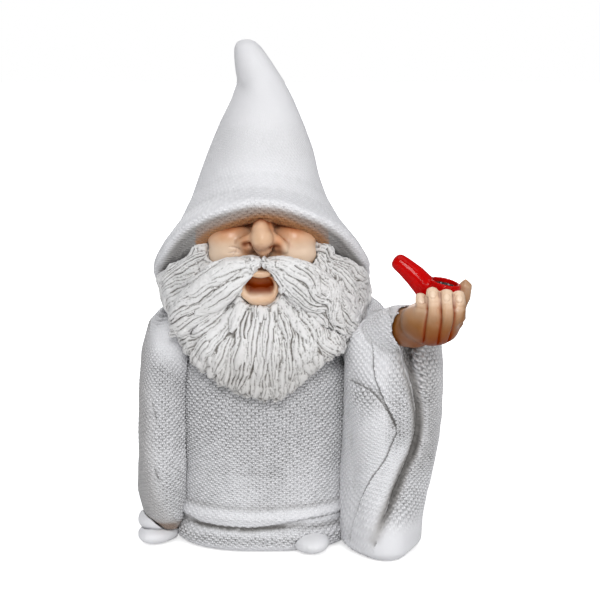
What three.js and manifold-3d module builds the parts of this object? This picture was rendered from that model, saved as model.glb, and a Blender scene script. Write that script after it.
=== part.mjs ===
// Garden gnome: a bearded figure in a long woven robe and a pointed hat, with a short red pipe in its raised
// left hand. It is an assembly of separate resin castings, glued on steel dowels.
// Millimetres, +Z up. The figure faces -Y, its left is +X, and the origin is the middle of the base's
// underside.
import * as THREE from 'three';
import { mergeVertices } from 'three/addons/utils/BufferGeometryUtils.js';
import Module from 'manifold-3d';

const wasm = await Module();
wasm.setup();

// Clearances and walls
const GLUE = 0.3; // glue line between two castings, all round
const ROBE_WALL = 5;
const HAT_WALL = 4.5;
const GROUND_LIFT = 0.6; // hem, sleeves and shoes end this far above the base's underside

// Robe
const ROBE_HEIGHT = 128;
const ROBE_HALF_WIDTH = 49;
const ROBE_FRONT_DEPTH = 45;
const ROBE_BACK_DEPTH = 42;
const HEM_HEIGHT = 15; // height of the crease under the hem's roll
const HEM_ROLL = 3; // how far the hem's roll stands out
const ROBE_SQUARENESS = 2.5; // exponent of the robe's plan, where 2 is an ellipse
const FACET = 0.12; // how far a flat face may lie from the smooth form that it stands for

// Base
const BASE_THICKNESS = 4;
const DRAIN_RADIUS = 4;
const DRAIN_SETBACK = 24; // distance of the drain hole behind the middle

// Head
const HEAD_HALF_WIDTH = 36;
const HEAD_HALF_DEPTH = 37;
const HEAD_HALF_HEIGHT = 38;
const HEAD_FORWARD = 4; // how far the head's middle lies in front of the robe's
const NECK_SINK = 2; // how far the head's underside lies below the robe's top
const HEAD_Z = ROBE_HEIGHT - NECK_SINK + HEAD_HALF_HEIGHT;

// Nose and mouth, measured from the head's middle
const NOSE_HALF_WIDTH = 6.4;
const NOSE_REACH = 46; // from the head's middle to the nose's ball
const NOSE_RISE = 12;
const MOUTH_SHIFT = -1.6;
const MOUTH_DROP = 14;
const MOUTH_HALF_WIDTH = 11.4;
const MOUTH_HALF_HEIGHT = 10;
const MOUTH_REACH = 45;
const LIP_RADIUS = 2.9;
const CHEEK_HALF_WIDTH = 15.5;
const FACE_HALF_WIDTH = 30; // half the width of bare face between the whiskers

// Beard and hair
const BEARD_HALF_WIDTH = 59;
const BEARD_LENGTH = 76; // from the head's middle down to the tip
const BEARD_RISE = 18; // from the head's middle up to the whiskers' top
const WHISKER_DEPTH = 38; // from the whiskers' middle out to the front, beside the mouth
const BEARD_THICKNESS = 12; // over the robe
const LOCK_RELIEF = 1.1;
const MOUSTACHE_SPAN = 49; // from the parting out to a lobe's end
const MOUSTACHE_DROP = 43; // from the parting down to a lobe's end
const MOUSTACHE_HALF_WIDTH = 12.5;
const HAIR_HALF_WIDTH = 50;
const HAIR_BACK_DEPTH = 43; // from the robe's middle
const HAIR_LENGTH = 66; // from the head's middle down to the hair's ends

// Hat
const BRIM_DROP = 7; // how far the brim's mean height lies below the head's middle
const BRIM_Z = HEAD_Z - BRIM_DROP;
const HAT_HEIGHT = 123; // from the brim's mean height to the tip
const HAT_HALF_WIDTH = 61; // at the brim
const BRIM_PITCH = 30; // how far the brim rises to the front and falls to the back
const BRIM_BOW = 7; // how far front and back stand above the sides, over that pitch
const BRIM_DEPTH_SHARE = 0.84; // the brim's depth over its width
const BRIM_FORWARD = 5; // how far the brim's middle lies in front of the robe's
const HAT_LEAN = 24; // how far the tip lies behind the brim's middle

// Right arm, hanging
const RIGHT_SLEEVE_X = -ROBE_HALF_WIDTH - 6.5;
const RIGHT_SLEEVE_HALF_WIDTH = 16;
const RIGHT_SLEEVE_HALF_DEPTH = 26;
const RIGHT_SLEEVE_TOP = ROBE_HEIGHT + 6;
const RIGHT_SLEEVE_BOTTOM = 8;

// Left arm, raised forward, with a wide sleeve that hangs to the ground
const LEFT_SLEEVE_X = ROBE_HALF_WIDTH + 22;
const LEFT_SLEEVE_Y = -27;
const LEFT_SLEEVE_HALF_WIDTH = 26.5;
const LEFT_SLEEVE_HALF_DEPTH = 29;
const LEFT_SLEEVE_TOP = ROBE_HEIGHT + 3;
const SHOULDER_RADIUS = 20;
const CUFF_RADIUS = 13;
const MOUTH_SLIT_WIDTH = 7; // the sleeve's mouth, which hangs nearly closed
const MOUTH_SLIT_DEPTH = 15;
const SLEEVE_FLARE = 9; // how far the hanging cloth swings forward at its hem

// Left hand and pipe
const WRIST = new THREE.Vector3(LEFT_SLEEVE_X + 6, LEFT_SLEEVE_Y - 31, ROBE_HEIGHT + 2);
const WRIST_HALF_WIDTH = 9.5;
const WRIST_HALF_HEIGHT = 11.5;
const BOWL_RADIUS = 8.8;
const BOWL_HEIGHT = 17;
const BOWL_BORE = 6.8;
const BOWL_BORE_DEPTH = 9;
const BOWL_TOP = WRIST.clone().add(new THREE.Vector3(20, -12, 27));
const BOWL_TILT = new THREE.Vector3(0.22, -0.1, 1).normalize(); // way that the bowl's mouth faces
const FILL_BELOW_RIM = 2.2;
const STEM_TIP = WRIST.clone().add(new THREE.Vector3(-7.2, -7, 38.4));
const STEM_RADIUS = 5.7;

// Shoes
const SHOE_HALF_WIDTH = 10.8;
const SHOE_HALF_LENGTH = 17;
const SHOE_HEIGHT = 12;

// Dowels
const NECK_DOWEL_RADIUS = 4;
const NECK_DOWEL_LENGTH = 34;
const ARM_DOWEL_RADIUS = 2.5;
const ARM_DOWEL_LENGTH = 24;
const ARM_DOWEL_DROP = 40; // from the robe's top down to the arm dowels
const WRIST_PIN_RADIUS = 1.5;
const WRIST_PIN_LENGTH = 22;
const PIPE_PIN_RADIUS = 1;
const PIPE_PIN_LENGTH = 9;

// Materials
const whiteResin = new THREE.MeshStandardMaterial({ color: 0xe4e4e6, roughness: 0.62, metalness: 0 });
const fleshResin = new THREE.MeshStandardMaterial({ color: 0xd9a27a, roughness: 0.38, metalness: 0 });
const redResin = new THREE.MeshStandardMaterial({ color: 0xc8140f, roughness: 0.12, metalness: 0 });
const darkFill = new THREE.MeshStandardMaterial({ color: 0x2a1d18, roughness: 0.8, metalness: 0 });
const rawResin = new THREE.MeshStandardMaterial({ color: 0xcfcabf, roughness: 0.75, metalness: 0 });
const steel = new THREE.MeshStandardMaterial({ color: 0x9a9c9e, roughness: 0.35, metalness: 1 });

const gnome = new THREE.Group();
const forwards = new THREE.Vector3(0, -1, 0);
const up = new THREE.Vector3(0, 0, 1);

// Shaping helpers

// A smooth curve through rows of numbers, read at a fraction from 0 at the first row to 1 at the last.
function through(rows) {
  const size = rows[0].length;
  const places = rows.map((_, i) => i / (rows.length - 1));
  const curve = new THREE.CubicInterpolant(places, rows.flat(), size, new Float32Array(size));
  return (fraction) => Array.from(curve.evaluate(THREE.MathUtils.clamp(fraction, 0, 1)));
}

// A closed body made from a sphere, with every point moved to place(angle, level). The angle is 0 at the
// front and grows towards +X, and the level runs from 0 at the lower pole to 1 at the upper one.
function sculpt(sides, levels, place) {
  const ball = new THREE.SphereGeometry(1, sides, levels);
  ball.deleteAttribute('normal');
  ball.deleteAttribute('uv');
  const points = ball.getAttribute('position');
  for (let i = 0; i < points.count; i += 1) {
    const column = i % (sides + 1);
    const row = Math.floor(i / (sides + 1));
    const level = 1 - row / levels;
    const angle = (column % sides) / sides * 2 * Math.PI;
    const at = place(angle, level);
    points.setXYZ(i, at.x, at.y, at.z);
  }
  return mergeVertices(ball, 1e-4);
}

// One coordinate of a rounded-square section, from the sine or cosine of its angle.
function squared(value, squareness) {
  return Math.sign(value) * Math.abs(value) ** (2 / squareness);
}

// A body of level sections. Each row is [z, middle x, middle y, half width, front depth, back depth].
function stack(rows, { sides = 32, steps = 1, squareness = 2, relief = () => 0 } = {}) {
  const at = through(rows);
  return sculpt(sides, (rows.length - 1) * steps, (angle, level) => {
    const [z, x, y, halfWidth, front, back] = at(level);
    const across = squared(Math.sin(angle), squareness);
    const forward = squared(Math.cos(angle), squareness);
    const raised = level > 0 && level < 1 ? relief(angle, z) : 0;
    return new THREE.Vector3(
      x + (halfWidth + raised) * across,
      y - ((forward > 0 ? front : back) + raised) * forward,
      z,
    );
  });
}

// A body along a bent middle line. Each row is [x, y, z, half width, half depth], and the depth lies along
// the given direction as nearly as the line allows.
function limb(rows, depthWay, { sides = 12, steps = 1 } = {}) {
  const at = through(rows);
  const line = new THREE.CatmullRomCurve3(rows.map(([x, y, z]) => new THREE.Vector3(x, y, z)));
  return sculpt(sides, (rows.length - 1) * steps, (angle, level) => {
    const [x, y, z, halfWidth, halfDepth] = at(level);
    const along = line.getTangent(level);
    const wide = new THREE.Vector3().crossVectors(along, depthWay).normalize();
    const deep = new THREE.Vector3().crossVectors(wide, along).normalize();
    return new THREE.Vector3(x, y, z)
      .addScaledVector(wide, Math.sin(angle) * Math.max(halfWidth, 0))
      .addScaledVector(deep, Math.cos(angle) * Math.max(halfDepth, 0));
  });
}

function ellipsoid(x, y, z, halfX, halfY, halfZ, sides = 16, levels = 8) {
  const ball = sculpt(sides, levels, (angle, level) => {
    const out = Math.sin(level * Math.PI);
    return new THREE.Vector3(Math.sin(angle) * out, -Math.cos(angle) * out, -Math.cos(level * Math.PI));
  });
  return ball.scale(halfX, halfY, halfZ).translate(x, y, z);
}

function rod(from, to, radius, sides = 12) {
  const length = from.distanceTo(to);
  const cylinder = new THREE.CylinderGeometry(radius, radius, length, sides);
  const turn = new THREE.Quaternion().setFromUnitVectors(
    new THREE.Vector3(0, 1, 0),
    to.clone().sub(from).normalize(),
  );
  const middle = from.clone().add(to).multiplyScalar(0.5);
  return cylinder.applyQuaternion(turn).translate(middle.x, middle.y, middle.z);
}

// The same body with its skin moved outwards, which is how a neighbour is cut to leave the glue line.
function grown(geometry, by = GLUE) {
  const body = merged(geometry);
  body.computeVertexNormals();
  const points = body.getAttribute('position');
  const normals = body.getAttribute('normal');
  for (let i = 0; i < points.count; i += 1) {
    points.setXYZ(
      i,
      points.getX(i) + normals.getX(i) * by,
      points.getY(i) + normals.getY(i) * by,
      points.getZ(i) + normals.getZ(i) * by,
    );
  }
  body.deleteAttribute('normal');
  return body;
}

function merged(geometry) {
  const body = geometry.clone();
  body.deleteAttribute('normal');
  body.deleteAttribute('uv');
  return mergeVertices(body, 1e-4);
}

function solid(geometry) {
  const body = merged(geometry);
  return new wasm.Manifold(new wasm.Mesh({
    numProp: 3,
    vertProperties: new Float32Array(body.getAttribute('position').array),
    triVerts: new Uint32Array(body.index.array),
  }));
}

function joined(...geometries) {
  return geometries.map(solid).reduce((all, next) => all.add(next));
}

function geometryOf(body) {
  const { numProp, vertProperties, triVerts } = body.getMesh();
  const points = new Float32Array((vertProperties.length / numProp) * 3);
  for (let i = 0; i < points.length / 3; i += 1) {
    points.set(vertProperties.subarray(i * numProp, i * numProp + 3), i * 3);
  }
  return new THREE.BufferGeometry()
    .setAttribute('position', new THREE.BufferAttribute(points, 3))
    .setIndex(new THREE.BufferAttribute(triVerts, 1));
}

// The largest piece of a cut solid: slivers that a cut leaves beside it are dropped.
function largest(body) {
  return body.decompose().sort((a, b) => b.volume() - a.volume())[0];
}

function add(name, body, material) {
  const mesh = new THREE.Mesh(geometryOf(largest(body.simplify(FACET))), material);
  mesh.name = name;
  gnome.add(mesh);
  return mesh;
}

// Everything above a level, and a flat slab between two levels.
function slab(low, high) {
  const SPAN = 600;
  return solid(new THREE.BoxGeometry(SPAN, SPAN, high - low).translate(0, 0, (low + high) / 2));
}
const aboveGround = slab(GROUND_LIFT, 600);

// Robe: a hollow casting with a rolled hem, open underneath
function robeForm(inset = 0, hemmed = true) {
  const roll = hemmed ? HEM_ROLL : 0;
  const tuck = hemmed ? 1 : 0;
  const sides = [
    [-3, -0.5, 0],
    [-3, 0.6, 0],
    [0, 0.94, 0],
    [HEM_HEIGHT * 0.25, 1, roll * 0.8],
    [HEM_HEIGHT * 0.6, 1, roll],
    [HEM_HEIGHT, 1, roll * 0.1],
    [HEM_HEIGHT + 5, 1, roll],
    [HEM_HEIGHT + 11, 1, roll * 0.2],
    [ROBE_HEIGHT * 0.35, 0.99, 0],
    [ROBE_HEIGHT * 0.54, 1.01, 0],
    [ROBE_HEIGHT * 0.72, 0.985, 0],
    [ROBE_HEIGHT * 0.85, 0.92, 0],
    [ROBE_HEIGHT * 0.93, 0.8, 0],
    [ROBE_HEIGHT * 0.985, 0.52, 0],
    [ROBE_HEIGHT, 0, 0],
  ];
  const rows = sides.map(([z, share, out], i) => {
    const full = i > 0 && i < sides.length - 1;
    const swell = tuck || i > 2 ? share : 1;
    const radius = (size) => (full ? Math.max(size * swell + out - inset, 1) : 0);
    const height = i > 7 ? z - inset * (z / ROBE_HEIGHT) ** 4 : z;
    return [height, 0, 0, radius(ROBE_HALF_WIDTH), radius(ROBE_FRONT_DEPTH), radius(ROBE_BACK_DEPTH)];
  });
  return stack(rows, { sides: hemmed ? 44 : 28, squareness: ROBE_SQUARENESS });
}

const robeSkin = robeForm();
const robeCutter = solid(grown(robeSkin));
const robeCavity = solid(robeForm(ROBE_WALL, false));

// Head: skull, cheeks, nose and an open mouth
const headMiddle = new THREE.Vector3(0, -HEAD_FORWARD, HEAD_Z);
function onHead(x, forward, up) {
  return [headMiddle.x + x, headMiddle.y - forward, headMiddle.z + up];
}

function headForm(by = 0) {
  const skull = ellipsoid(...headMiddle, HEAD_HALF_WIDTH, HEAD_HALF_DEPTH, HEAD_HALF_HEIGHT, 24, 12);
  const cheeks = [-1, 1].map((side) => ellipsoid(
    ...onHead(side * (CHEEK_HALF_WIDTH - 1), HEAD_HALF_DEPTH - 6, 3),
    CHEEK_HALF_WIDTH,
    11,
    11,
    14,
    8,
  ));
  const nose = limb([
    [0.3, NOSE_REACH - 14, 24, 0, 0],
    [0.3, NOSE_REACH - 11, 22, NOSE_HALF_WIDTH * 0.75, 5],
    [0.4, NOSE_REACH - 5, NOSE_RISE + 5, NOSE_HALF_WIDTH * 0.95, 6.5],
    [0.6, NOSE_REACH, NOSE_RISE, NOSE_HALF_WIDTH, 6.5],
    [0.7, NOSE_REACH - 1, NOSE_RISE - 5, NOSE_HALF_WIDTH * 0.85, 5.2],
    [0.7, NOSE_REACH - 4, NOSE_RISE - 7.5, 0, 0],
  ].map(([x, forward, rise, wide, deep]) => [...onHead(x, forward, rise), wide, deep]), forwards);
  const wings = [-1, 1].map((side) => ellipsoid(
    ...onHead(0.8 + side * NOSE_HALF_WIDTH * 1.3, NOSE_REACH - 8, NOSE_RISE - 4),
    5.2,
    6.2,
    4.6,
    10,
    6,
  ));
  const mound = ellipsoid(
    ...onHead(MOUTH_SHIFT, MOUTH_REACH - 5, -MOUTH_DROP),
    MOUTH_HALF_WIDTH,
    8,
    MOUTH_HALF_HEIGHT,
  );
  const lips = new THREE.TorusGeometry(MOUTH_HALF_WIDTH - LIP_RADIUS, LIP_RADIUS, 6, 18)
    .scale(1, (MOUTH_HALF_HEIGHT - LIP_RADIUS) / (MOUTH_HALF_WIDTH - LIP_RADIUS), 1)
    .rotateX(Math.PI / 2 - 0.28)
    .translate(...onHead(MOUTH_SHIFT, MOUTH_REACH, -MOUTH_DROP));
  return [skull, ...cheeks, nose, ...wings, mound, lips]
    .map((piece) => solid(by ? grown(piece, by) : piece))
    .reduce((all, next) => all.add(next));
}

const mouthHollow = solid(ellipsoid(
  ...onHead(MOUTH_SHIFT + 0.3, MOUTH_REACH + 1, -MOUTH_DROP + 0.8),
  MOUTH_HALF_WIDTH - LIP_RADIUS - 0.6,
  11,
  MOUTH_HALF_HEIGHT - LIP_RADIUS - 0.6,
  16,
  10,
));
const headCutter = headForm(GLUE);
// The beard leaves the lips bare, straight out to the front, and the upper lip too, under the moustache.
function lipWindow(rise, halfWidth, halfHeight) {
  return limb([
    [MOUTH_REACH - 12, 0, 0],
    [MOUTH_REACH - 11, halfWidth, halfHeight],
    [MOUTH_REACH, halfWidth, halfHeight],
    [MOUTH_REACH + 30, halfWidth + 3, halfHeight + 3],
    [MOUTH_REACH + 31, 0, 0],
  ].map(([forward, ...size]) => [...onHead(MOUTH_SHIFT, forward, rise), ...size]), up, { sides: 20 });
}
const mouthWindow = joined(
  lipWindow(-MOUTH_DROP, MOUTH_HALF_WIDTH + GLUE, MOUTH_HALF_HEIGHT + GLUE),
  lipWindow(-MOUTH_DROP / 2 + 1, MOUTH_HALF_WIDTH * 0.75, MOUTH_DROP / 2 + 4),
);

// Hat: a hollow cone whose thick brim rolls under and is pushed up in front. Each row is
// [share of the height, radius, sideways shift of the middle, share of the brim's pitch].
function hatForm(rows, sides) {
  const at = through(rows);
  return sculpt(sides, rows.length - 1, (angle, level) => {
    const [share, radius, x, pitch] = at(level);
    const above = Math.max(share, 0);
    const rise = pitch * (BRIM_PITCH * Math.cos(angle) + BRIM_BOW * Math.cos(2 * angle));
    const round = Math.max(radius, 0);
    return new THREE.Vector3(
      x + Math.sin(angle) * round,
      HAT_LEAN * above ** 1.3 - BRIM_FORWARD * (1 - above) - Math.cos(angle) * round * BRIM_DEPTH_SHARE,
      BRIM_Z + HAT_HEIGHT * share + (level > 0 && level < 1 ? rise : 0),
    );
  });
}
const hatSkin = hatForm([
  [-0.05, 0, 0, 0],
  [-0.07, 0.55, 0, 0.95],
  [-0.088, 0.8, 0, 1],
  [-0.06, 0.915, -0.3, 1],
  [-0.02, 0.985, -0.7, 1],
  [0.02, 1, -1, 0.98],
  [0.08, 0.93, -1, 0.86],
  [0.19, 0.755, -1.5, 0.6],
  [0.3, 0.63, -2.2, 0.42],
  [0.41, 0.55, -2.2, 0.32],
  [0.52, 0.475, -1.4, 0.25],
  [0.63, 0.385, -1, 0.2],
  [0.735, 0.285, -0.5, 0.14],
  [0.82, 0.215, -2, 0.1],
  [0.91, 0.165, -6.5, 0.06],
  [0.965, 0.125, -9.2, 0.03],
  [0.99, 0.075, -10, 0.01],
  [1, 0, -10.2, 0],
].map(([share, size, ...rest]) => [share, HAT_HALF_WIDTH * size, ...rest]), 36);
const hatCutter = solid(grown(hatSkin));
const hatHollow = solid(hatForm([
  [0.12, 0, -1, 0],
  [0.125, 0.4, -1, 0.3],
  [0.14, 0.82, -1.2, 0.7],
  [0.3, 0.63, -2.2, 0.42],
  [0.41, 0.55, -2.2, 0.32],
  [0.52, 0.475, -1.4, 0.25],
  [0.63, 0.385, -1, 0.2],
  [0.7, 0.26, -0.7, 0.16],
  [0.73, 0, -0.7, 0],
].map(([share, size, ...rest]) => [share, size ? HAT_HALF_WIDTH * size - HAT_WALL : 0, ...rest]), 24));

// Beard: a broad fan over the chest that runs up beside the face, with coarse locks
function beardForm(by = 0, relief = LOCK_RELIEF) {
  const tip = HEAD_Z - BEARD_LENGTH;
  const long = BEARD_LENGTH + BEARD_RISE;
  const chest = -ROBE_FRONT_DEPTH - BEARD_THICKNESS;
  const width = BEARD_HALF_WIDTH;
  const depth = WHISKER_DEPTH;
  const rows = [
    [-by / long, 3.5, chest + 7, 0, 0, 0],
    [0.0213, 2, chest + 7, width * 0.17, depth * 0.184, depth * 0.158],
    [0.085, -1.5, chest + 9, width * 0.356, depth * 0.263, depth * 0.263],
    [0.17, -2, chest + 14, width * 0.542, depth * 0.395, depth * 0.368],
    [0.266, 0.5, chest + 22, width * 0.746, depth * 0.579, depth * 0.526],
    [0.394, 2, chest + 31, width * 0.864, depth * 0.737, depth * 0.632],
    [0.532, 1.5, -HEAD_FORWARD - 13, width * 0.966, depth * 0.908, depth * 0.526],
    [0.66, 0, -HEAD_FORWARD - 8, width, depth, depth * 0.421],
    [0.777, 0, -HEAD_FORWARD - 6, width * 0.949, depth * 0.947, depth * 0.368],
    [0.894, 0, -HEAD_FORWARD - 4, width * 0.814, depth * 0.895, depth * 0.316],
    [0.979, 0, -HEAD_FORWARD - 2, width * 0.508, depth * 0.684, depth * 0.263],
    [1 + by / long, 0, -HEAD_FORWARD - 2, 0, 0, 0],
  ].map(([share, x, y, ...radii]) => [
    tip + long * share,
    x,
    y,
    ...radii.map((radius) => (radius ? radius + by : 0)),
  ]);
  const locks = (angle, z) => {
    const fade = THREE.MathUtils.smoothstep(HEAD_Z - z, -6, 26);
    const fan = Math.sin(angle * 16 + Math.sin(angle * 5) * 1.3);
    return relief * fade * fan;
  };
  return stack(rows, { sides: 52, squareness: 2.2, relief: locks });
}
const beardSkin = beardForm();
const beardCutter = solid(beardForm(GLUE + LOCK_RELIEF, 0));
const faceWindow = solid(stack([
  [HEAD_Z + 1, 0, -50, 0, 0, 0],
  [HEAD_Z + 2, 0, -50, FACE_HALF_WIDTH * 0.8, 25, 25],
  [HEAD_Z + 9, 0, -50, FACE_HALF_WIDTH, 25, 25],
  [HEAD_Z + 24, 0, -50, FACE_HALF_WIDTH, 25, 25],
  [HEAD_Z + 36, 0, -50, 0, 0, 0],
], { sides: 24, squareness: 2.4 }));

// Hair behind the head, under the hat's brim
function hairForm(by = 0, relief = LOCK_RELIEF) {
  const end = HEAD_Z - HAIR_LENGTH;
  const waves = (angle, z) => relief * Math.sin(angle * 17 + z * 0.05);
  const back = HAIR_BACK_DEPTH;
  const width = HAIR_HALF_WIDTH;
  const rows = [
    [0, back - 9, 0, 0, 0],
    [0.03, back - 13, width * 0.32, 6, back * 0.256],
    [0.121, back - 21, width * 0.64, 10, back * 0.477],
    [0.242, back - 31, width * 0.88, 14, back * 0.721],
    [0.409, back - 37, width, 16, back * 0.86],
    [0.576, back - 39, width, 16, back * 0.884],
    [0.788, back - 41, width * 0.88, 16, back * 0.79],
    [0.909, back - 42, 0, 0, 0],
  ].map(([share, y, ...radii]) => [
    end + HAIR_LENGTH * share,
    0,
    y,
    ...radii.map((radius) => (radius ? radius + by : 0)),
  ]);
  return stack(rows, { sides: 40, squareness: 2.1, relief: waves });
}

// Moustache: two locks that part under the nose and sweep out and down over the beard
function moustacheLobe(side, by = 0) {
  const span = MOUSTACHE_SPAN;
  const drop = MOUSTACHE_DROP;
  const width = MOUSTACHE_HALF_WIDTH;
  const rows = [
    [-0.01, MOUTH_REACH + 2, 1.5, 0, 0],
    [0.03, MOUTH_REACH + 3, 0.5, width * 0.32, 3.4],
    [0.184, MOUTH_REACH + 3.5, -drop * 0.08, width * 0.64, 5.4],
    [0.429, MOUTH_REACH + 1.5, -drop * 0.256, width * 0.96, 6.2],
    [0.694, MOUTH_REACH - 5, -drop * 0.558, width, 6],
    [0.898, MOUTH_REACH - 9.5, -drop * 0.837, width * 0.64, 4.6],
    [1, MOUTH_REACH - 12, -drop, 0, 0],
  ].map(([share, forward, up, wide, deep]) => [
    ...onHead(side * span * share, forward, up),
    wide ? wide + by : 0,
    deep ? deep + by : 0,
  ]);
  return limb(rows, forwards, { sides: 14, steps: 2 });
}

// Right sleeve and the hand inside it
function rightSleeveForm() {
  const x = RIGHT_SLEEVE_X;
  const width = RIGHT_SLEEVE_HALF_WIDTH;
  const depth = RIGHT_SLEEVE_HALF_DEPTH;
  const low = RIGHT_SLEEVE_BOTTOM;
  const long = RIGHT_SLEEVE_TOP - low;
  const folds = (angle, z) => {
    const lower = 1 - THREE.MathUtils.smoothstep(z, low + long * 0.35, low + long * 0.85);
    return 1.3 * lower * Math.sin(angle * 3 + 0.8 + z * 0.035);
  };
  return stack([
    [low, x + 3, -22, 0, 0, 0],
    [low + 2, x + 3, -21, width * 0.42, depth * 0.4, depth * 0.5],
    [low + 9, x + 1, -18, width * 0.82, depth * 0.78, depth * 0.8],
    [low + 22, x, -15, width, depth * 0.98, depth],
    [low + long * 0.4, x, -13, width, depth, depth],
    [low + long * 0.62, x + 1, -10, width * 0.97, depth, depth * 0.96],
    [low + long * 0.8, x + 2.5, -6, width * 0.95, depth * 0.92, depth * 0.9],
    [low + long * 0.91, x + 5, -3, width * 0.88, depth * 0.8, depth * 0.8],
    [low + long * 0.975, x + 9, -1, width * 0.62, depth * 0.55, depth * 0.55],
    [low + long, x + 12, 0, 0, 0, 0],
  ], { sides: 24, squareness: 2.3, relief: folds });
}

// Left sleeve: the raised shoulder, the cuff round the wrist, and the cloth that hangs from them
function leftSleevePieces() {
  const width = LEFT_SLEEVE_HALF_WIDTH;
  const depth = LEFT_SLEEVE_HALF_DEPTH;
  const top = LEFT_SLEEVE_TOP;
  const x = LEFT_SLEEVE_X;
  const folds = (angle, z) => {
    const lower = 1 - THREE.MathUtils.smoothstep(z, top * 0.5, top * 0.9);
    return 1.4 * lower * Math.sin(angle * 4 + 0.9 + z * 0.03);
  };
  const drape = stack([
    [0, x - 4, -1, 0, 0, 0],
    [0.3, x - 4.5, 0, width * 0.6, depth * 0.8 + SLEEVE_FLARE, depth * 0.65],
    [top * 0.038, x - 5, 0, width * 0.82, depth * 0.98 + SLEEVE_FLARE, depth * 0.9],
    [top * 0.183, x - 5, 0, width * 0.86, depth * 1.01 + SLEEVE_FLARE * 0.75, depth],
    [top * 0.382, x - 2, 0, width * 0.94, depth + SLEEVE_FLARE * 0.35, depth * 1.15],
    [top * 0.588, x + 0.5, 0, width, depth * 1.02 + SLEEVE_FLARE * 0.1, depth * 1.3],
    [top * 0.794, x + 1.5, 0, width * 1.02, depth * 1.03, depth * 1.4],
    [top * 0.9, x + 0.5, 0, width, depth * 0.97, depth * 1.36],
    [top * 0.94, x - 3.5, 2, width * 0.86, depth * 0.82, depth * 1.15],
    [top * 0.985, x - 8, 5, width * 0.56, depth * 0.5, depth * 0.7],
    [top, x - 10, 6, 0, 0, 0],
  ], { sides: 32, squareness: 2.3, relief: folds }).translate(0, LEFT_SLEEVE_Y, 0);
  const shoulder = ellipsoid(
    ROBE_HALF_WIDTH + 3,
    -4,
    ROBE_HEIGHT - 10,
    SHOULDER_RADIUS,
    SHOULDER_RADIUS + 2,
    SHOULDER_RADIUS + 2,
    16,
    8,
  );
  const { x: wristX, y: wristY, z: wristZ } = WRIST;
  const cuff = limb([
    [wristX - 16, wristY + 42, wristZ - 20, 0, 0],
    [wristX - 14, wristY + 36, wristZ - 17, CUFF_RADIUS, CUFF_RADIUS],
    [wristX - 8, wristY + 18, wristZ - 8, CUFF_RADIUS + 1.5, CUFF_RADIUS + 1],
    [wristX - 3, wristY + 7, wristZ - 1.5, CUFF_RADIUS + 0.5, CUFF_RADIUS],
    [wristX + 1, wristY + 0.5, wristZ - 0.3, CUFF_RADIUS, CUFF_RADIUS - 0.5],
    [wristX + 2.6, wristY - 2.5, wristZ, CUFF_RADIUS - 1.5, CUFF_RADIUS - 1],
    [wristX + 3, wristY - 3.2, wristZ, 0, 0],
  ], new THREE.Vector3(0, 0, 1), { sides: 16 });
  return [drape, shoulder, cuff];
}

// The hanging mouth of the left sleeve: a narrow slit from under the wrist to the hem
function sleeveMouth() {
  const front = LEFT_SLEEVE_Y - LEFT_SLEEVE_HALF_DEPTH;
  const half = MOUTH_SLIT_WIDTH / 2;
  const deep = MOUTH_SLIT_DEPTH;
  const x = LEFT_SLEEVE_X;
  const top = LEFT_SLEEVE_TOP;
  return limb([
    [x - 10, front + 2 - SLEEVE_FLARE * 0.9, top * 0.076, 0, 0],
    [x - 8.5, front + 1 - SLEEVE_FLARE * 0.85, top * 0.107, half * 0.4, deep * 0.3],
    [x + 2, front - 1 - SLEEVE_FLARE * 0.5, top * 0.305, half * 0.8, deep * 0.7],
    [x + 11, front - 1 - SLEEVE_FLARE * 0.25, top * 0.443, half, deep],
    [x + 16, front - 1, top * 0.595, half * 1.05, deep],
    [x + 14.5, front - 1, top * 0.733, half * 1.3, deep],
    [x + 10, front - 1, top * 0.855, half * 1.8, deep],
    [x + 9, front, top * 0.93, half * 1.6, deep],
    [x + 8, front, top * 0.96, 0, 0],
  ], forwards, { sides: 10 });
}

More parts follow.
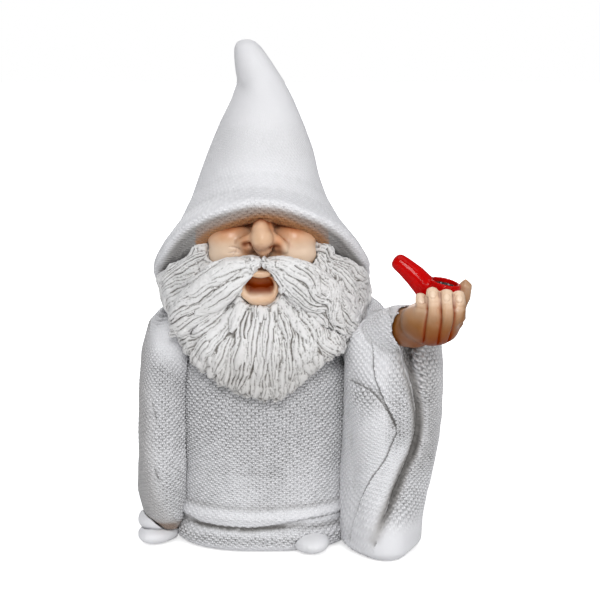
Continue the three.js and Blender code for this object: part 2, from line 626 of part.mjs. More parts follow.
// Left hand: palm, wrist, four fingers that curl up in front, and the thumb behind the bowl.
// From the wrist, each finger is [x, radius, how far forward, height of its underside, height of its tip].
const fingersAt = [
  [6.4, 3.4, 20.5, -3, 22.5],
  [12.3, 3.9, 24, -3, 26],
  [19.4, 4.3, 25, -2.5, 25],
  [26.2, 3.8, 22.5, 2, 24],
];
function handPieces() {
  const { x: wristX, y: wristY, z: wristZ } = WRIST;
  const palm = ellipsoid(wristX + 15.5, wristY - 11, wristZ + 6, 13, 10.5, 11, 14, 8);
  const wrist = limb([
    [wristX - 6, wristY + 14, wristZ - 3, 0, 0],
    [wristX - 5, wristY + 12, wristZ - 2.5, WRIST_HALF_WIDTH * 0.85, WRIST_HALF_HEIGHT * 0.8],
    [wristX - 1, wristY + 3, wristZ - 0.5, WRIST_HALF_WIDTH, WRIST_HALF_HEIGHT * 0.95],
    [wristX + 5, wristY - 6, wristZ + 1, WRIST_HALF_WIDTH * 1.1, WRIST_HALF_HEIGHT],
    [wristX + 13, wristY - 12, wristZ + 4, WRIST_HALF_WIDTH, WRIST_HALF_HEIGHT * 0.8],
    [wristX + 19, wristY - 14, wristZ + 6, 0, 0],
  ], new THREE.Vector3(0, 0, 1), { sides: 14 });
  const fingers = fingersAt.map(([out, radius, reach, below, above]) => {
    const x = wristX + out;
    const y = wristY - reach;
    const low = wristZ + below;
    const high = wristZ + above;
    return limb([
      [x, y + 15, low + 7, 0, 0],
      [x, y + 13, low + 6, radius * 0.9, radius * 0.9],
      [x, y + 5, low + radius, radius * 1.05, radius],
      [x, y - 1, low + radius + 3, radius * 1.08, radius * 1.05],
      [x, y - 3, (low + high) / 2, radius * 1.02, radius],
      [x, y - 1.5, high - 5, radius, radius * 0.92],
      [x, y + 0.5, high - 1, radius * 0.78, radius * 0.7],
      [x, y + 1, high, 0, 0],
    ], new THREE.Vector3(0, -1, 0.2).normalize(), { sides: 8 });
  });
  const thumb = limb([
    [wristX + 20, wristY - 4, wristZ + 2, 0, 0],
    [wristX + 21, wristY - 4, wristZ + 3, 4, 4],
    [wristX + 26, wristY - 4, wristZ + 10, 5, 5],
    [wristX + 30, wristY - 5, wristZ + 18, 4.3, 4.5],
    [wristX + 31, wristY - 7.5, wristZ + 24.5, 3.6, 3.6],
    [wristX + 31, wristY - 8.5, wristZ + 28, 0, 0],
  ], forwards, { sides: 8 });
  return [palm, wrist, ...fingers, thumb];
}

// Pipe: a round bowl with a thick stem that rises from its side
const bowlTurn = new THREE.Quaternion().setFromUnitVectors(new THREE.Vector3(0, 0, 1), BOWL_TILT);
// A place on the bowl's axis, at a depth below its rim.
function inBowl(depth) {
  return BOWL_TOP.clone().addScaledVector(BOWL_TILT, -depth);
}
function pipePieces() {
  const profile = [
    [0, -BOWL_HEIGHT],
    [BOWL_RADIUS * 0.62, -BOWL_HEIGHT + 1],
    [BOWL_RADIUS * 0.94, -BOWL_HEIGHT * 0.65],
    [BOWL_RADIUS, -BOWL_HEIGHT * 0.25],
    [BOWL_RADIUS * 0.97, -0.8],
    [BOWL_RADIUS * 0.88, 0],
    [0, 0],
  ].map(([radius, height]) => new THREE.Vector2(radius, height));
  const bowl = new THREE.LatheGeometry(profile, 24)
    .rotateX(Math.PI / 2)
    .applyQuaternion(bowlTurn)
    .translate(...BOWL_TOP.toArray());
  const root = inBowl(BOWL_HEIGHT * 0.62).add(new THREE.Vector3(-BOWL_RADIUS * 0.3, 0, 0));
  const way = STEM_TIP.clone().sub(root);
  const stations = [
    [-0.04, 0],
    [0, 0.95],
    [0.25, 1.14],
    [0.5, 1.02],
    [0.75, 0.88],
    [0.88, 0.82],
    [0.94, 0.72],
    [0.98, 0.5],
    [1, 0],
  ];
  const stem = limb(stations.map(([share, size]) => {
    const sag = Math.sin(Math.PI * share) * 2;
    const at = root.clone().addScaledVector(way, share);
    return [at.x, at.y, at.z + sag, STEM_RADIUS * size, STEM_RADIUS * size * 0.86];
  }), forwards, { sides: 14 });
  return { bowl, stem };
}
const { bowl, stem } = pipePieces();
const pipeCutter = solid(grown(bowl)).add(solid(grown(stem)));

// Shoes
function shoeForm(x, y, turn) {
  return ellipsoid(0, 0, 0, SHOE_HALF_WIDTH, SHOE_HALF_LENGTH, SHOE_HEIGHT / 2, 20, 10)
    .rotateZ(THREE.MathUtils.degToRad(turn))
    .translate(x, y, SHOE_HEIGHT / 2);
}

// Dowels
const neckFoot = new THREE.Vector3(0, 0, ROBE_HEIGHT - NECK_DOWEL_LENGTH * 0.45);
const neckTop = neckFoot.clone().addScaledVector(up, NECK_DOWEL_LENGTH);
function armDowel(side) {
  const middle = side * (ROBE_HALF_WIDTH - ROBE_WALL / 2 + 3);
  return [
    new THREE.Vector3(middle - ARM_DOWEL_LENGTH / 2, -4, ROBE_HEIGHT - ARM_DOWEL_DROP),
    new THREE.Vector3(middle + ARM_DOWEL_LENGTH / 2, -4, ROBE_HEIGHT - ARM_DOWEL_DROP),
  ];
}
const wristWay = new THREE.Vector3(-6, 14, -3).normalize();
const wristStart = WRIST.clone().addScaledVector(wristWay, WRIST_PIN_LENGTH * 0.2);
const wristEnd = wristStart.clone().addScaledVector(wristWay, WRIST_PIN_LENGTH);
const pipePinTop = inBowl(BOWL_BORE_DEPTH + 3);
const pipePinFoot = inBowl(BOWL_BORE_DEPTH + 3 + PIPE_PIN_LENGTH);

function dowel([from, to], radius) {
  return solid(rod(from, to, radius));
}
// A dowel's hole: wider by the glue line, and longer by it at both ends.
function dowelHole([from, to], radius) {
  const way = to.clone().sub(from).normalize();
  return solid(rod(
    from.clone().addScaledVector(way, -GLUE),
    to.clone().addScaledVector(way, GLUE),
    radius + GLUE,
  ));
}
const dowels = {
  neck_dowel: [[neckFoot, neckTop], NECK_DOWEL_RADIUS],
  right_arm_dowel: [armDowel(-1), ARM_DOWEL_RADIUS],
  left_arm_dowel: [armDowel(1), ARM_DOWEL_RADIUS],
  wrist_pin: [[wristStart, wristEnd], WRIST_PIN_RADIUS],
  pipe_pin: [[pipePinFoot, pipePinTop], PIPE_PIN_RADIUS],
};
const holes = Object.values(dowels).map(([ends, radius]) => dowelHole(ends, radius))
  .reduce((all, next) => all.add(next));

// Assembly: each casting is cut to clear the ones that it lies against
const robeShell = solid(robeSkin).intersect(aboveGround).subtract(robeCavity);
add('robe_body', robeShell.subtract(holes), whiteResin);

const basePlate = solid(robeForm(ROBE_WALL + GLUE, false)).intersect(slab(0, BASE_THICKNESS));
const drain = solid(rod(
  new THREE.Vector3(0, DRAIN_SETBACK, -1),
  new THREE.Vector3(0, DRAIN_SETBACK, BASE_THICKNESS + 1),
  DRAIN_RADIUS,
  24,
));
add('base_plate', basePlate.subtract(drain), rawResin);

const head = headForm().subtract(mouthHollow).subtract(robeCutter).subtract(holes);
add('head', head, fleshResin);
add('hat', solid(hatSkin).subtract(headCutter).subtract(hatHollow), whiteResin);

const rightSleeveSkin = rightSleeveForm();
const rightSleeveCutter = solid(grown(rightSleeveSkin));
const lobes = [-1, 1].map((side) => solid(moustacheLobe(side)));
const lobeCutters = [-1, 1].map((side) => solid(grown(moustacheLobe(side))));

const overSleeves = robeCutter
  .add(hatCutter)
  .add(beardCutter)
  .add(lobeCutters[0])
  .add(lobeCutters[1])
  .add(solid(hairForm(GLUE + LOCK_RELIEF, 0)));
const sleevePieces = leftSleevePieces();
const leftSleeveCutter = joined(...sleevePieces.map((piece) => grown(piece)));
const underHat = robeCutter.add(headCutter).add(hatCutter);
const beard = solid(beardSkin)
  .subtract(underHat)
  .subtract(faceWindow)
  .subtract(mouthWindow)
  .subtract(lobeCutters[0].add(lobeCutters[1]));
add('beard', beard, whiteResin);
lobes.forEach((lobe, i) => {
  const other = i ? lobeCutters[0] : null;
  const cut = lobe.subtract(headCutter).subtract(hatCutter);
  add(['moustache_right', 'moustache_left'][i], other ? cut.subtract(other) : cut, whiteResin);
});

const hair = solid(hairForm()).subtract(underHat).subtract(beardCutter);
add('back_hair', hair, whiteResin);

const rightHandSkin = ellipsoid(RIGHT_SLEEVE_X - 5, -19, RIGHT_SLEEVE_BOTTOM + 5, 10.5, 13, 7.5, 18, 10);
add('right_sleeve', solid(rightSleeveSkin).subtract(overSleeves).subtract(holes), whiteResin);
add('right_hand', solid(rightHandSkin).subtract(robeCutter).subtract(rightSleeveCutter), whiteResin);

const pieces = handPieces();
const handCutter = joined(...pieces.map((piece) => grown(piece)));
const leftSleeve = joined(...sleevePieces)
  .subtract(solid(sleeveMouth()))
  .subtract(overSleeves)
  .subtract(handCutter)
  .subtract(holes)
  .intersect(aboveGround);
add('left_sleeve', leftSleeve, whiteResin);
add('left_hand', joined(...pieces).subtract(pipeCutter).subtract(holes), fleshResin);

const bore = solid(rod(inBowl(BOWL_BORE_DEPTH), inBowl(-1), BOWL_BORE, 24));
add('pipe', joined(bowl, stem).subtract(bore).subtract(holes), redResin);
const fill = rod(inBowl(BOWL_BORE_DEPTH - GLUE), inBowl(FILL_BELOW_RIM), BOWL_BORE - GLUE, 24);
add('pipe_filling', solid(fill), darkFill);

const besideShoes = robeCutter.add(rightSleeveCutter).add(leftSleeveCutter).add(solid(grown(rightHandSkin)));
const shoes = { right_shoe: [-58.5, -21, -28], left_shoe: [26, -39, 8] };
Object.entries(shoes).forEach(([name, [x, y, turn]]) => {
  add(name, solid(shoeForm(x, y, turn)).intersect(aboveGround).subtract(besideShoes), whiteResin);
});

Object.entries(dowels).forEach(([name, [ends, radius]]) => add(name, dowel(ends, radius), steel));

export default gnome;
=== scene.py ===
import math

import bmesh
import bpy
import numpy as np
from mathutils import Matrix, Vector
from mathutils.bvhtree import BVHTree
from mathutils.kdtree import KDTree


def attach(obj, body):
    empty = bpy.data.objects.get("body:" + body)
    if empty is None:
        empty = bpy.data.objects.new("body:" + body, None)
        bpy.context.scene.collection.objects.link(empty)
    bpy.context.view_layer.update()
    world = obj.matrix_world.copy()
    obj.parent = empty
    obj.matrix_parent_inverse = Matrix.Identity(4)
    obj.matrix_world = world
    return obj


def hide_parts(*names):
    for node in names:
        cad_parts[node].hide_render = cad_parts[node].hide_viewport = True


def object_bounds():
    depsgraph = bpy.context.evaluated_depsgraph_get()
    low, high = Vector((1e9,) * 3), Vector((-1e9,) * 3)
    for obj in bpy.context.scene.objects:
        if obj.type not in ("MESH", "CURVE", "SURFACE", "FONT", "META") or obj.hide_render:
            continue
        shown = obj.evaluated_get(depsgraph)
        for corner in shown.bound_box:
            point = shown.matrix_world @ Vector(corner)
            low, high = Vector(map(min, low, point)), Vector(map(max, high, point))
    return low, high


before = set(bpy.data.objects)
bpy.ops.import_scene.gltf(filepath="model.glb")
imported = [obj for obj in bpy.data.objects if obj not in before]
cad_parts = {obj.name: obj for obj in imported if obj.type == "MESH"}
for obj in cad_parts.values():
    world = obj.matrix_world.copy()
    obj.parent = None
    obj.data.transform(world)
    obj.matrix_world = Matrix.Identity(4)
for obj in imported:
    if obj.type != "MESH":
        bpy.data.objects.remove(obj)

CAD_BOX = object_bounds()
SCENE = bpy.context.scene
MM = 0.001

# Sizes of the surfaces' detail, in millimetres: the weave's repeats and relief, and each casting's grain
WEAVE_ACROSS = 4.26
WEAVE_DOWN = 2.76
WEAVE_RELIEF = 0.46
HAT_RELIEF = 0.2
CLOTH_GRAIN = 1.32
HAT_GRAIN = 1.4
SLEEVE_GRAIN = 1.24
HAIR_FLOW_GRAIN = 1.4
HAIR_CORE_GRAIN = 1.2
HAIR_GRAIN = 0.4
SKIN_GRAIN = 0.9
HAND_GRAIN = 0.8
BASE_GRAIN = 0.9
PIPE_GRAIN = 0.5
TURN = 2 * math.pi


# Mesh helpers

def mesh_from(shape, name):
    """A bmesh as a mesh of that name."""
    mesh = bpy.data.meshes.new(name)
    shape.to_mesh(mesh)
    shape.free()
    return mesh


def add_object(name, data):
    """A new object in the scene."""
    thing = bpy.data.objects.new(name, data)
    SCENE.collection.objects.link(thing)
    return thing


def settled(holder):
    """An object's mesh after its modifiers, the object itself taken away again."""
    evaluated = holder.evaluated_get(bpy.context.evaluated_depsgraph_get())
    mesh = bpy.data.meshes.new_from_object(evaluated)
    bpy.data.objects.remove(holder)
    return mesh


def node_copy(node, closed_by=None):
    """A merged copy of a node's mesh, without the faces that closed_by picks, their holes filled."""
    shape = bmesh.new()
    shape.from_mesh(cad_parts[node].data)
    bmesh.ops.remove_doubles(shape, verts=shape.verts, dist=2e-7)
    if closed_by:
        shape.normal_update()
        inner = [face for face in shape.faces if closed_by(face)]
        bmesh.ops.delete(shape, geom=inner, context="FACES")
        rims = [edge for edge in shape.edges if edge.is_boundary]
        bmesh.ops.holes_fill(shape, edges=rims)
        bmesh.ops.triangulate(shape, faces=[face for face in shape.faces if len(face.verts) > 3])
    return mesh_from(shape, node)


def modified(mesh, *steps):
    """The mesh after modifiers, each given as its type and its settings."""
    holder = add_object("holder", mesh)
    for kind, settings in steps:
        modifier = holder.modifiers.new(kind, kind)
        for name, value in settings.items():
            setattr(modifier, name, value)
    return settled(holder)


def cast_skin(mesh, grain, passes, finer=1):
    """The casting's smooth skin: an even mesh of that grain, relaxed, then divided."""
    steps = [
        ("REMESH", {"mode": "VOXEL", "voxel_size": grain * MM}),
        ("SMOOTH", {"factor": 0.5, "iterations": passes}),
    ]
    if finer:
        steps.append(("SUBSURF", {"levels": finer, "render_levels": finer}))
    return modified(mesh, *steps)


def listed(items, field, width=1, kind=float):
    """One field of all the items, in one array."""
    values = np.empty(len(items) * width, dtype=kind)
    items.foreach_get(field, values)
    return values.reshape(-1, width) if width > 1 else values


def read(mesh, field="co"):
    """The mesh's points in millimetres, or its normals."""
    values = listed(mesh.vertices, field, 3)
    return values / MM if field == "co" else values


def write(mesh, points):
    mesh.vertices.foreach_set("co", (points * MM).ravel())
    mesh.update()


def ends_of(mesh):
    """The two points of each of the mesh's edges."""
    return listed(mesh.edges, "vertices", 2, np.int64)


def neighbour_mean(values, ends, passes, pull=None, drawn=0.5):
    """Each row's values drawn towards its neighbours' mean, as strongly as each edge pulls."""
    count = len(values)
    first, second = ends.T
    if pull is None:
        pull = np.ones(len(ends))

    def gathered(given):
        """Each point's sum over its edges of what lies at their other ends."""
        return (
            np.bincount(first, weights=pull * given[second], minlength=count)
            + np.bincount(second, weights=pull * given[first], minlength=count)
        )

    share = np.maximum(gathered(np.ones(count)), 1e-6)
    for _ in range(passes):
        total = np.stack([gathered(column) for column in values.T], axis=1)
        values = (1 - drawn) * values + drawn * total / share[:, None]
    return values


def raise_by(mesh, height):
    """Moves every point along its normal by a height in millimetres."""
    write(mesh, read(mesh) + read(mesh, "normal") * height[:, None])


def softened(mesh, mask, passes):
    """Relaxes the mesh as much as the mask says at each point."""
    points = read(mesh)
    soft = neighbour_mean(points, ends_of(mesh), passes)
    write(mesh, points + (soft - points) * mask[:, None])


def keep_field(mesh, name, values):
    """Stores a value at each point for the paint."""
    layer = mesh.attributes.new(name, "FLOAT", "POINT")
    layer.data.foreach_set("value", values.astype(np.float32))


def keep_hollows(mesh, fine=5, broad=60, fine_depth=0.12, broad_depth=1.0, shaded=0):
    """Stores how deep each point lies in a groove and in a fold, from 0 to 1, for the paint's darkening.

    Where shaded is more, it counts instead as painted shade: up to 1 as a fold, and what is over 1 as a
    groove.
    """
    points = read(mesh)
    normals = read(mesh, "normal")
    ends = ends_of(mesh)
    near = neighbour_mean(points, ends, fine)
    far = neighbour_mean(near, ends, broad)
    groove = ((near - points) * normals).sum(1) / fine_depth
    fold = ((far - points) * normals).sum(1) / broad_depth
    keep_field(mesh, "groove", np.clip(np.maximum(groove, shaded - 1), 0, 1))
    keep_field(mesh, "fold", np.clip(np.maximum(fold, shaded), 0, 1))


def swirl(points, wavelength, seed, count=12):
    """A smooth random field, mostly between -1 and 1, whose hills lie about a wavelength apart."""
    random = np.random.default_rng(seed)
    ways = random.normal(size=(3, count))
    ways *= random.uniform(0.75, 1.3, count) / np.linalg.norm(ways, axis=0)
    phases = random.uniform(0, TURN, count)
    return np.sin(points @ ways * (TURN / wavelength) + phases).mean(1) * math.sqrt(count / 2)


def step(values, low, high):
    """A smooth rise from 0 at low to 1 at high."""
    share = np.clip((values - low) / (high - low), 0, 1)
    return share * share * (3 - 2 * share)


def mound(values, middle, width):
    """1 where the values are at the middle, falling smoothly to 0 over about two widths."""
    return np.exp(-((values - middle) / width) ** 2)


def mound_at(points, place, reach):
    """1 at a place, falling smoothly to 0 over about two reaches each way."""
    return np.exp(-(((points - place) / reach) ** 2).sum(1))


def arch(along, ends):
    """A mark's strength along its line: 1 in the middle, and less towards the ends."""
    return np.sin(np.clip(along, ends, 1 - ends) * math.pi)


def beside(line, across, down):
    """How far each (across, down) place lies to the line's right, and how far along it, from 0 to 1."""
    line = np.array(line, dtype=float)
    places = np.stack([across, down], axis=1)
    best = np.full(len(places), 1e9)
    side = np.zeros(len(places))
    along = np.zeros(len(places))
    lengths = np.linalg.norm(np.diff(line, axis=0), axis=1)
    starts = np.concatenate([[0], np.cumsum(lengths)])
    for i, (start, end) in enumerate(zip(line[:-1], line[1:])):
        way = end - start
        share = np.clip(((places - start) @ way) / (way @ way), 0, 1)
        away = places - start - share[:, None] * way
        distance = np.linalg.norm(away, axis=1)
        cross = way[0] * away[:, 1] - way[1] * away[:, 0]
        closer = distance < best
        best = np.where(closer, distance, best)
        side = np.where(closer, np.where(cross > 0, -distance, distance), side)
        along = np.where(closer, (starts[i] + share * lengths[i]) / starts[-1], along)
    return side, along


def smooth_line(points, steps=8):
    """More points on a rounded curve through the given ones."""
    points = np.array(points, dtype=float)
    padded = np.vstack([2 * points[0] - points[1], points, 2 * points[-1] - points[-2]])
    curve = []
    for a, b, c, d in zip(padded[:-3], padded[1:-2], padded[2:-1], padded[3:]):
        for share in np.arange(steps) / steps:
            curve.append(0.5 * (
                2 * b + (c - a) * share + (2 * a - 5 * b + 4 * c - d) * share ** 2
                + (3 * b - a - 3 * c + d) * share ** 3
            ))
    curve.append(points[-1])
    return np.array(curve)


def unit(ways):
    """The ways, each with a length of 1."""
    return ways / np.maximum(np.linalg.norm(ways, axis=-1, keepdims=True), 1e-9)


def tree_of(mesh):
    """The mesh's faces, to find the nearest place on them, in millimetres."""
    faces = [tuple(face.vertices) for face in mesh.polygons]
    return BVHTree.FromPolygons(read(mesh).tolist(), faces)


def nearest_of(places):
    """The places, to find those nearest to any other."""
    tree = KDTree(len(places))
    for i, place in enumerate(places.tolist()):
        tree.insert(place, i)
    tree.balance()
    return tree


def joined(*meshes):
    """All the meshes as one."""
    shape = bmesh.new()
    for mesh in meshes:
        shape.from_mesh(mesh)
    return mesh_from(shape, "joined")


def ball(place, radii, turn=0.0):
    """A closed ellipsoid, in millimetres, turned about its own Y by degrees."""
    shape = bmesh.new()
    bmesh.ops.create_uvsphere(shape, u_segments=24, v_segments=16, radius=1)
    turned = Matrix.Rotation(math.radians(turn), 3, "Y").to_quaternion()
    placed = Matrix.LocRotScale(Vector(place) * MM, turned, Vector(radii) * MM)
    bmesh.ops.transform(shape, matrix=placed, verts=shape.verts)
    return mesh_from(shape, "ball")


MOST_TRIANGLES = 190000


def thinned(mesh):
    """The mesh with no more triangles than a piece may have."""
    triangles = sum(len(face.vertices) - 2 for face in mesh.polygons)
    if triangles <= MOST_TRIANGLES:
        return mesh
    return modified(mesh, ("DECIMATE", {"ratio": MOST_TRIANGLES / triangles}))


def finish_piece(name, mesh, node, material):
    """The finished object, inside the solids' box, on the root body, standing for its node, which is
    hidden.
    """
    mesh = thinned(mesh)
    write(mesh, np.clip(read(mesh), *(np.array(CAD_BOX) / MM)))
    mesh.name = name
    mesh.materials.clear()
    mesh.materials.append(material)
    mesh.polygons.foreach_set("use_smooth", np.ones(len(mesh.polygons), dtype=bool))
    piece = add_object(name, mesh)
    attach(piece, "root")
    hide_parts(node)
    return piece


# Woven cloth

GIRTH_CORNERS = 73


def girth(points, middle, low, high):
    """Angles from the front, the share of the way round at each, and the whole way round, in a band."""
    band = points[(points[:, 2] > low) & (points[:, 2] < high)]
    angles = np.arctan2(band[:, 0] - middle[0], middle[1] - band[:, 1])
    radii = np.hypot(band[:, 0] - middle[0], band[:, 1] - middle[1])
    corners = np.linspace(-math.pi, math.pi, GIRTH_CORNERS)
    middles = (corners[:-1] + corners[1:]) / 2
    known = []
    for start, end in zip(corners[:-1], corners[1:]):
        inside = radii[(angles >= start) & (angles < end)]
        known.append(inside.max() if len(inside) else np.nan)
    known = np.array(known)
    full = ~np.isnan(known)
    radius = np.interp(corners, middles[full], known[full], period=TURN)
    x, y = radius * np.sin(corners), radius * np.cos(corners)
    lengths = np.hypot(np.diff(x), np.diff(y))
    round_it = np.concatenate([[0], np.cumsum(lengths)])
    return corners, round_it / round_it[-1], round_it[-1]


def weave_places(points, middle, low, high, sway, seed):
    """The weave's two coordinates at each point, in threads: round the piece, and down it."""
    corners, share, length = girth(points, middle, low, high)
    angles = np.arctan2(points[:, 0] - middle[0], middle[1] - points[:, 1])
    repeats = round(length / WEAVE_ACROSS)
    across = np.interp(angles, corners, share) * repeats + 0.1 * swirl(points, 9, seed + 2)
    down = (points[:, 2] + sway * swirl(points, 90, seed)) / WEAVE_DOWN + 0.1 * swirl(points, 7, seed + 3)
    return across, down, repeats


def weave_height(across, down):
    """The relief of the cast cloth: staggered bumps, from -1 to 1."""
    return np.cos(TURN * across) * np.cos(TURN * down)


def keep_weave(mesh, across, down, repeats):
    """Stores the weave's coordinates as a UV map, whole across the seam at the back."""
    corners = listed(mesh.loops, "vertex_index", kind=np.int64)
    starts = listed(mesh.polygons, "loop_start", kind=np.int64)
    totals = listed(mesh.polygons, "loop_total", kind=np.int64)
    around = across[corners]
    highest = np.repeat(np.maximum.reduceat(around, starts), totals)
    around = np.where(highest - around > repeats / 2, around + repeats, around)
    layer = mesh.uv_layers.new(name="weave")
    layer.data.foreach_set("uv", np.stack([around, down[corners]], axis=1).ravel())


def weave_cloth(
    mesh, middle, low, high, woven, seed, relief=WEAVE_RELIEF, sway=4.0, shaded=0, fold_depth=1.0,
):
    """Casts the weave into the mesh, as strongly as woven says, and stores it for the paint."""
    points = read(mesh)
    across, down, repeats = weave_places(points, middle, low, high, sway, seed)
    keep_hollows(mesh, broad_depth=fold_depth, shaded=shaded)
    patches = 0.95 + 0.09 * swirl(points, 30, seed + 20, 24) + 0.06 * swirl(points, 7, seed + 40, 24)
    strength = woven * np.clip(patches, 0.3, 1.3)
    raise_by(mesh, weave_height(across, down) * relief * strength)
    keep_weave(mesh, across, down, repeats)
    keep_field(mesh, "woven", strength)


# Paint

def linear(colour):
    """A displayed colour, from 0 to 1, as the shader's own linear value."""
    return tuple(c / 12.92 if c <= 0.04045 else ((c + 0.055) / 1.055) ** 2.4 for c in colour) + (1.0,)


def add_node(tree, kind, links=None, values=None, **settings):
    """A new node in a tree, with its settings, its sockets' values and what feeds them."""
    node = tree.nodes.new(kind)
    for name, value in settings.items():
        setattr(node, name, value)
    for name, value in (values or {}).items():
        node.inputs[name].default_value = value
    for name, source in (links or {}).items():
        tree.links.new(source, node.inputs[name])
    return node


class Paint:
    """A node material, with short ways to add its nodes."""

    def __init__(self, name, roughness, specular=0.5):
        self.material = bpy.data.materials.new(name)
        self.material.use_nodes = True
        self.tree = self.material.node_tree
        self.shader = self.tree.nodes["Principled BSDF"]
        self.shader.inputs["Roughness"].default_value = roughness
        self.shader.inputs["Specular IOR Level"].default_value = specular

    def add(self, kind, links=None, values=None, **settings):
        return add_node(self.tree, kind, links, values, **settings)

    def link(self, source, name):
        self.tree.links.new(source, self.shader.inputs[name])

    def math(self, operation, first, second=None, clamp=False):
        node = self.add("ShaderNodeMath", operation=operation, use_clamp=clamp)
        for i, value in enumerate((first, second)):
            if value is None:
                continue
            if isinstance(value, (int, float)):
                node.inputs[i].default_value = value
            else:
                self.tree.links.new(value, node.inputs[i])
        return node.outputs[0]

    def times(self, first, second, clamp=False):
        return self.math("MULTIPLY", first, second, clamp)

    def plus(self, first, second):
        return self.math("ADD", first, second)

    def field(self, name):
        return self.add("ShaderNodeAttribute", attribute_name=name).outputs["Fac"]

    def noise(self, scale, detail=3.0, stretch=(1, 1, 1)):
        """Noise in the piece's own coordinates, scale in grains to the metre."""
        place = self.add("ShaderNodeTexCoord").outputs["Object"]
        mapped = self.add("ShaderNodeMapping", {"Vector": place}, {"Scale": stretch}).outputs[0]
        grains = {"Scale": scale, "Detail": detail, "Roughness": 0.55}
        return self.add("ShaderNodeTexNoise", {"Vector": mapped}, grains).outputs["Fac"]

    def ramp(self, value, low, high):
        return self.add(
            "ShaderNodeMapRange", {"Value": value}, {"From Min": low, "From Max": high}, clamp=True,
        ).outputs[0]

    def mix(self, share, first, second):
        """A colour between two, each a socket or a displayed colour."""
        node = self.add("ShaderNodeMix", data_type="RGBA")
        if isinstance(share, (int, float)):
            node.inputs[0].default_value = share
        else:
            self.tree.links.new(share, node.inputs[0])
        for i, colour in ((6, first), (7, second)):
            if isinstance(colour, tuple):
                node.inputs[i].default_value = linear(colour)
            else:
                self.tree.links.new(colour, node.inputs[i])
        return node.outputs[2]

    def mottled(self, first, second, scale, detail=3.0, low=0.3, high=0.75, stretch=(1, 1, 1)):
        """Two colours in soft patches."""
        return self.mix(self.ramp(self.noise(scale, detail, stretch), low, high), first, second)

    def darkened(self, name, strength, under, colour):
        """A darker colour over another, as strongly as a field says: painted shade in hollows, with the
        cloth's wash.
        """
        return self.mix(self.times(self.field(name), strength), under, colour)

    def bump(self, *layers):
        """Relief from layers of (height socket, depth in millimetres), the first the lowest."""
        normal = None
        for height, depth in layers:
            links = {"Height": height}
            if normal:
                links["Normal"] = normal
            normal = self.add("ShaderNodeBump", links, {"Distance": depth * MM, "Strength": 1.0}).outputs[0]
        self.link(normal, "Normal")


def woven_relief(paint):
    """The weave's height with its fine threads, from the piece's UV map, from about -0.7 to 1."""
    place = paint.add("ShaderNodeUVMap", uv_map="weave").outputs[0]
    parts = paint.add("ShaderNodeSeparateXYZ", {0: place})

    def wave(i, repeats, shift=0.0, height=1.0):
        turned = paint.plus(paint.times(parts.outputs[i], TURN * repeats), shift)
        return paint.times(paint.math("COSINE", turned), height)

    bumps = paint.times(paint.plus(wave(0, 1, 0, 1.3), wave(0, 3, 0, 0.7)), wave(1, 1))
    rows = paint.plus(wave(1, 2, 0.7, 0.5), wave(0, 2, 0, 0.2))
    return paint.math("SUBTRACT", paint.times(paint.plus(bumps, rows), 0.55), 0.1)


# The cloth's white, and the dark grey-brown in its pits and grooves: the wash that stays there, with
# painted shade
WHITE = (0.9, 0.9, 0.91)
WASH_AND_SHADE = (0.3, 0.29, 0.275)


def cloth_paint():
    paint = Paint("woven_white", 0.5, 0.4)
    relief = woven_relief(paint)
    woven = paint.field("woven")
    # The weave's pits darkened in specks: the wash in them, with painted shade
    darkened = paint.times(paint.times(woven, woven), 1.6, True)
    pits = paint.times(paint.ramp(relief, 0.08, -0.52), darkened)
    patchy = paint.ramp(paint.noise(330, 4), 0.3, 0.7)
    specks = paint.times(pits, paint.plus(paint.times(patchy, 0.4), 0.4))
    shade = paint.mottled(WHITE, (0.875, 0.875, 0.885), 28)
    # Painted highlight: the tops of the weave's bumps lighter
    tops = paint.times(paint.ramp(relief, 0.1, 0.7), woven, True)
    lit_tops = paint.mix(tops, shade, (0.98, 0.98, 0.985))
    # Painted shade in the folds and where shaded says, then the wash with painted shade in the grooves
    folded = paint.darkened("fold", 0.75, lit_tops, (0.58, 0.565, 0.55))
    grooved = paint.darkened("groove", 0.8, folded, WASH_AND_SHADE)
    specked = paint.mix(specks, grooved, WASH_AND_SHADE)
    # Warm brown painted shade under the brim beside the face and on the right sleeve's underside
    paint.link(paint.mix(paint.field("warm"), specked, (0.63, 0.43, 0.25)), "Base Color")
    paint.bump((paint.times(relief, woven), 0.6), (paint.noise(900, 2), 0.06))
    return paint.material


def hair_paint():
    paint = Paint("carved_hair", 0.55, 0.35)
    # The grooves darkened in patches: the wash in them, with painted shade
    groove = paint.field("groove")
    patchy = paint.plus(paint.times(paint.ramp(paint.noise(120, 4), 0.3, 0.65), 0.5), 0.5)
    groove_wash_and_shade = paint.times(groove, patchy, True)
    shade = paint.mottled((0.9, 0.898, 0.897), (0.855, 0.85, 0.845), 60)
    # Painted shade in the folds and over the beard's lower part
    folded = paint.darkened("fold", 0.85, shade, (0.56, 0.54, 0.51))
    paint.link(paint.mix(paint.times(groove_wash_and_shade, 0.85), folded, (0.3, 0.28, 0.25)), "Base Color")
    paint.bump((paint.noise(500, 4), 0.2))
    return paint.material


def smooth_paint():
    paint = Paint("smooth_white", 0.42, 0.45)
    shade = paint.mottled((0.915, 0.915, 0.925), (0.87, 0.87, 0.875), 40)
    # Painted shade in the folds
    paint.link(paint.darkened("fold", 0.7, shade, (0.6, 0.58, 0.55)), "Base Color")
    paint.bump((paint.noise(700, 3), 0.05))
    return paint.material


